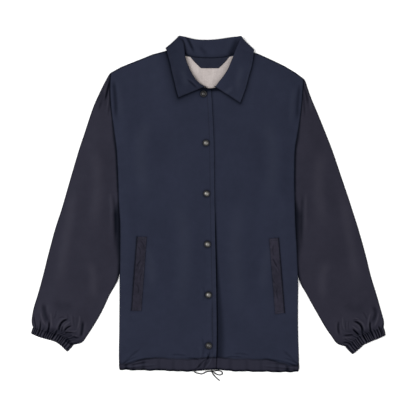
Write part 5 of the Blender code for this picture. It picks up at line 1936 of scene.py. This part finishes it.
def make_facing():
    """The shaped facing at the back neck, on the lining, with a row of stitches round three sides."""
    across = marks(70, (69, 1.4))
    down = marks(22, (21, 1.0))[None, :]
    half = FACING["top_half"] + (FACING["foot_half"] - FACING["top_half"]) * down**1.25
    x = FACING["centre"] + (across * 2 - 1)[:, None] * half
    crown = np.interp(x[:, :1], BACK_TOP["across"], BACK_TOP["height"]) - 0.3
    y = crown * (1 - down) + FACING["foot"] * down
    distance = edge_distance(stack(x, y, 0))
    low = back_bottom(x, y) + BACK_WALL + LINING_WALL + LINING_GAP + SEAM_GAP + 0.2
    z = low + FACING_WALL + 0.3 * np.sin(np.pi * across)[:, None] * np.sin(np.pi * down)
    outer, inner = two_faces(x, y, z, rounded(distance, FACING_WALL), FACING_WALL)
    piece = worn(wall("facing_shown", outer, inner, FACING_CLOTH, distance), "facing", "neck_facing")
    laid(outer)

    first, last, foot = 3.5, len(across) - 4.5, down.size - 4.5
    rows = np.concatenate([np.full(30, first), np.linspace(first, last, 90), np.full(30, last)])
    columns = np.concatenate([np.linspace(2, foot, 30), np.full(90, foot), np.linspace(foot, 2, 30)])
    worn(stitches("facing_stitches", [on_grid(outer, rows, columns) + STITCH_RISE], THREAD), "facing")


# The snaps

# A cap's profile from its middle out and under: radius and height
SNAP_PROFILE = (
    (0.0, 3.0),
    (1.2, 2.95),
    (2.4, 2.76),
    (3.4, 2.46),
    (4.2, 2.08),
    (4.8, 1.66),
    (5.2, 1.24),
    (5.4, 0.95),
    (5.6, 0.9),
    (5.9, 1.02),
    (6.4, 1.16),
    (6.9, 1.1),
    (7.3, 0.85),
    (7.5, 0.5),
    (7.4, 0.2),
    (7.1, 0.0),
    (3.0, 0.0),
    (0.0, 0.0),
)
# Painted shade on a snap: the first lies in the shade of the collar, and the last in a hollow of the placket
SNAP_PAINTED_SHADE = {1: 0.86, SNAP_COUNT: 0.66}


def make_snaps():
    """Round caps, each a profile turned about its own axis and laid level on the cloth."""
    radius, height = np.array(SNAP_PROFILE).T
    between = len(radius) - 2
    angle = (np.arange(SNAP_TURNS) * 2 * np.pi / SNAP_TURNS)[:, None]
    flat = (np.cos(angle) * radius[1:-1], np.sin(angle) * radius[1:-1], height[1:-1])
    turned = stack(*flat).reshape(-1, 3)
    start = np.arange(SNAP_TURNS) * between
    following = (np.arange(SNAP_TURNS) + 1) % SNAP_TURNS * between
    k = np.arange(between - 1)
    ring, after = start[:, None] + k, following[:, None] + k
    quads = np.stack([ring, ring + 1, after + 1, after], axis=-1).reshape(-1, 4)
    top, foot = (np.full(SNAP_TURNS, SNAP_TURNS * between + n) for n in (0, 1))
    faces = quads.tolist() + np.stack([start, following, top], axis=-1).tolist()
    faces += np.stack([following + between - 1, start + between - 1, foot], axis=-1).tolist()
    worn_rim = 0.5 * bell(radius - 6.6, 0.6) * (height > 0.8) + 0.6 * (radius < 3)
    rims = np.concatenate([np.tile(worn_rim[1:-1], SNAP_TURNS), [worn_rim[0], 0]])
    around = np.linspace(0, 2 * np.pi, 25)
    for number, (x, y) in enumerate(snap_places(), 1):
        seat = np.max(front_top("right", x + SNAP_RADIUS * np.cos(around), y + SNAP_RADIUS * np.sin(around)))
        base = np.array([x, y, float(seat) + 0.2])
        points = np.concatenate([turned, [[0, 0, height[0]], [0, 0, height[-1]]]]) + base
        # The mask is the ring colour on the flange beyond the dome, and painted shade over the dome of a snap
        # in shade
        painted_shade = SNAP_PAINTED_SHADE.get(number, 0.0)
        dark = np.clip((radius[1:-1] - 4.9) / 0.5, painted_shade, 1)
        masks = dict(rim=rims, shade=np.concatenate([np.tile(dark, SNAP_TURNS), [painted_shade, 1]]))
        made = piece_from(f"snap_{number}", placed(points), faces, SNAP_METAL, **masks)
        worn(made, "snap_metal", f"snap_cap_{number}")


def main():
    """Makes every piece, from the back up to what lies on it."""
    make_camera()
    make_studio()
    make_drawcord()
    make_back()
    make_front("right", RIGHT_FRONT_TOP, right_side, edge_x)
    make_front("left", LEFT_FRONT_TOP, left_side, under_edge)
    make_front_stitches()
    for side, sections, sleeve_rows, gather_rows in (
        ("right", RIGHT_SLEEVE, RIGHT_SLEEVE_CREASES, RIGHT_GATHER_CREASES),
        ("left", LEFT_SLEEVE, LEFT_SLEEVE_CREASES, LEFT_GATHER_CREASES),
    ):
        make_sleeve(side, sections, (sleeve_rows, gather_rows))
        make_cuff(side, CUFFS[side], (gather_rows,))
        make_welt(side)
    make_collar()
    make_lining()
    make_facing()
    make_snaps()


main()
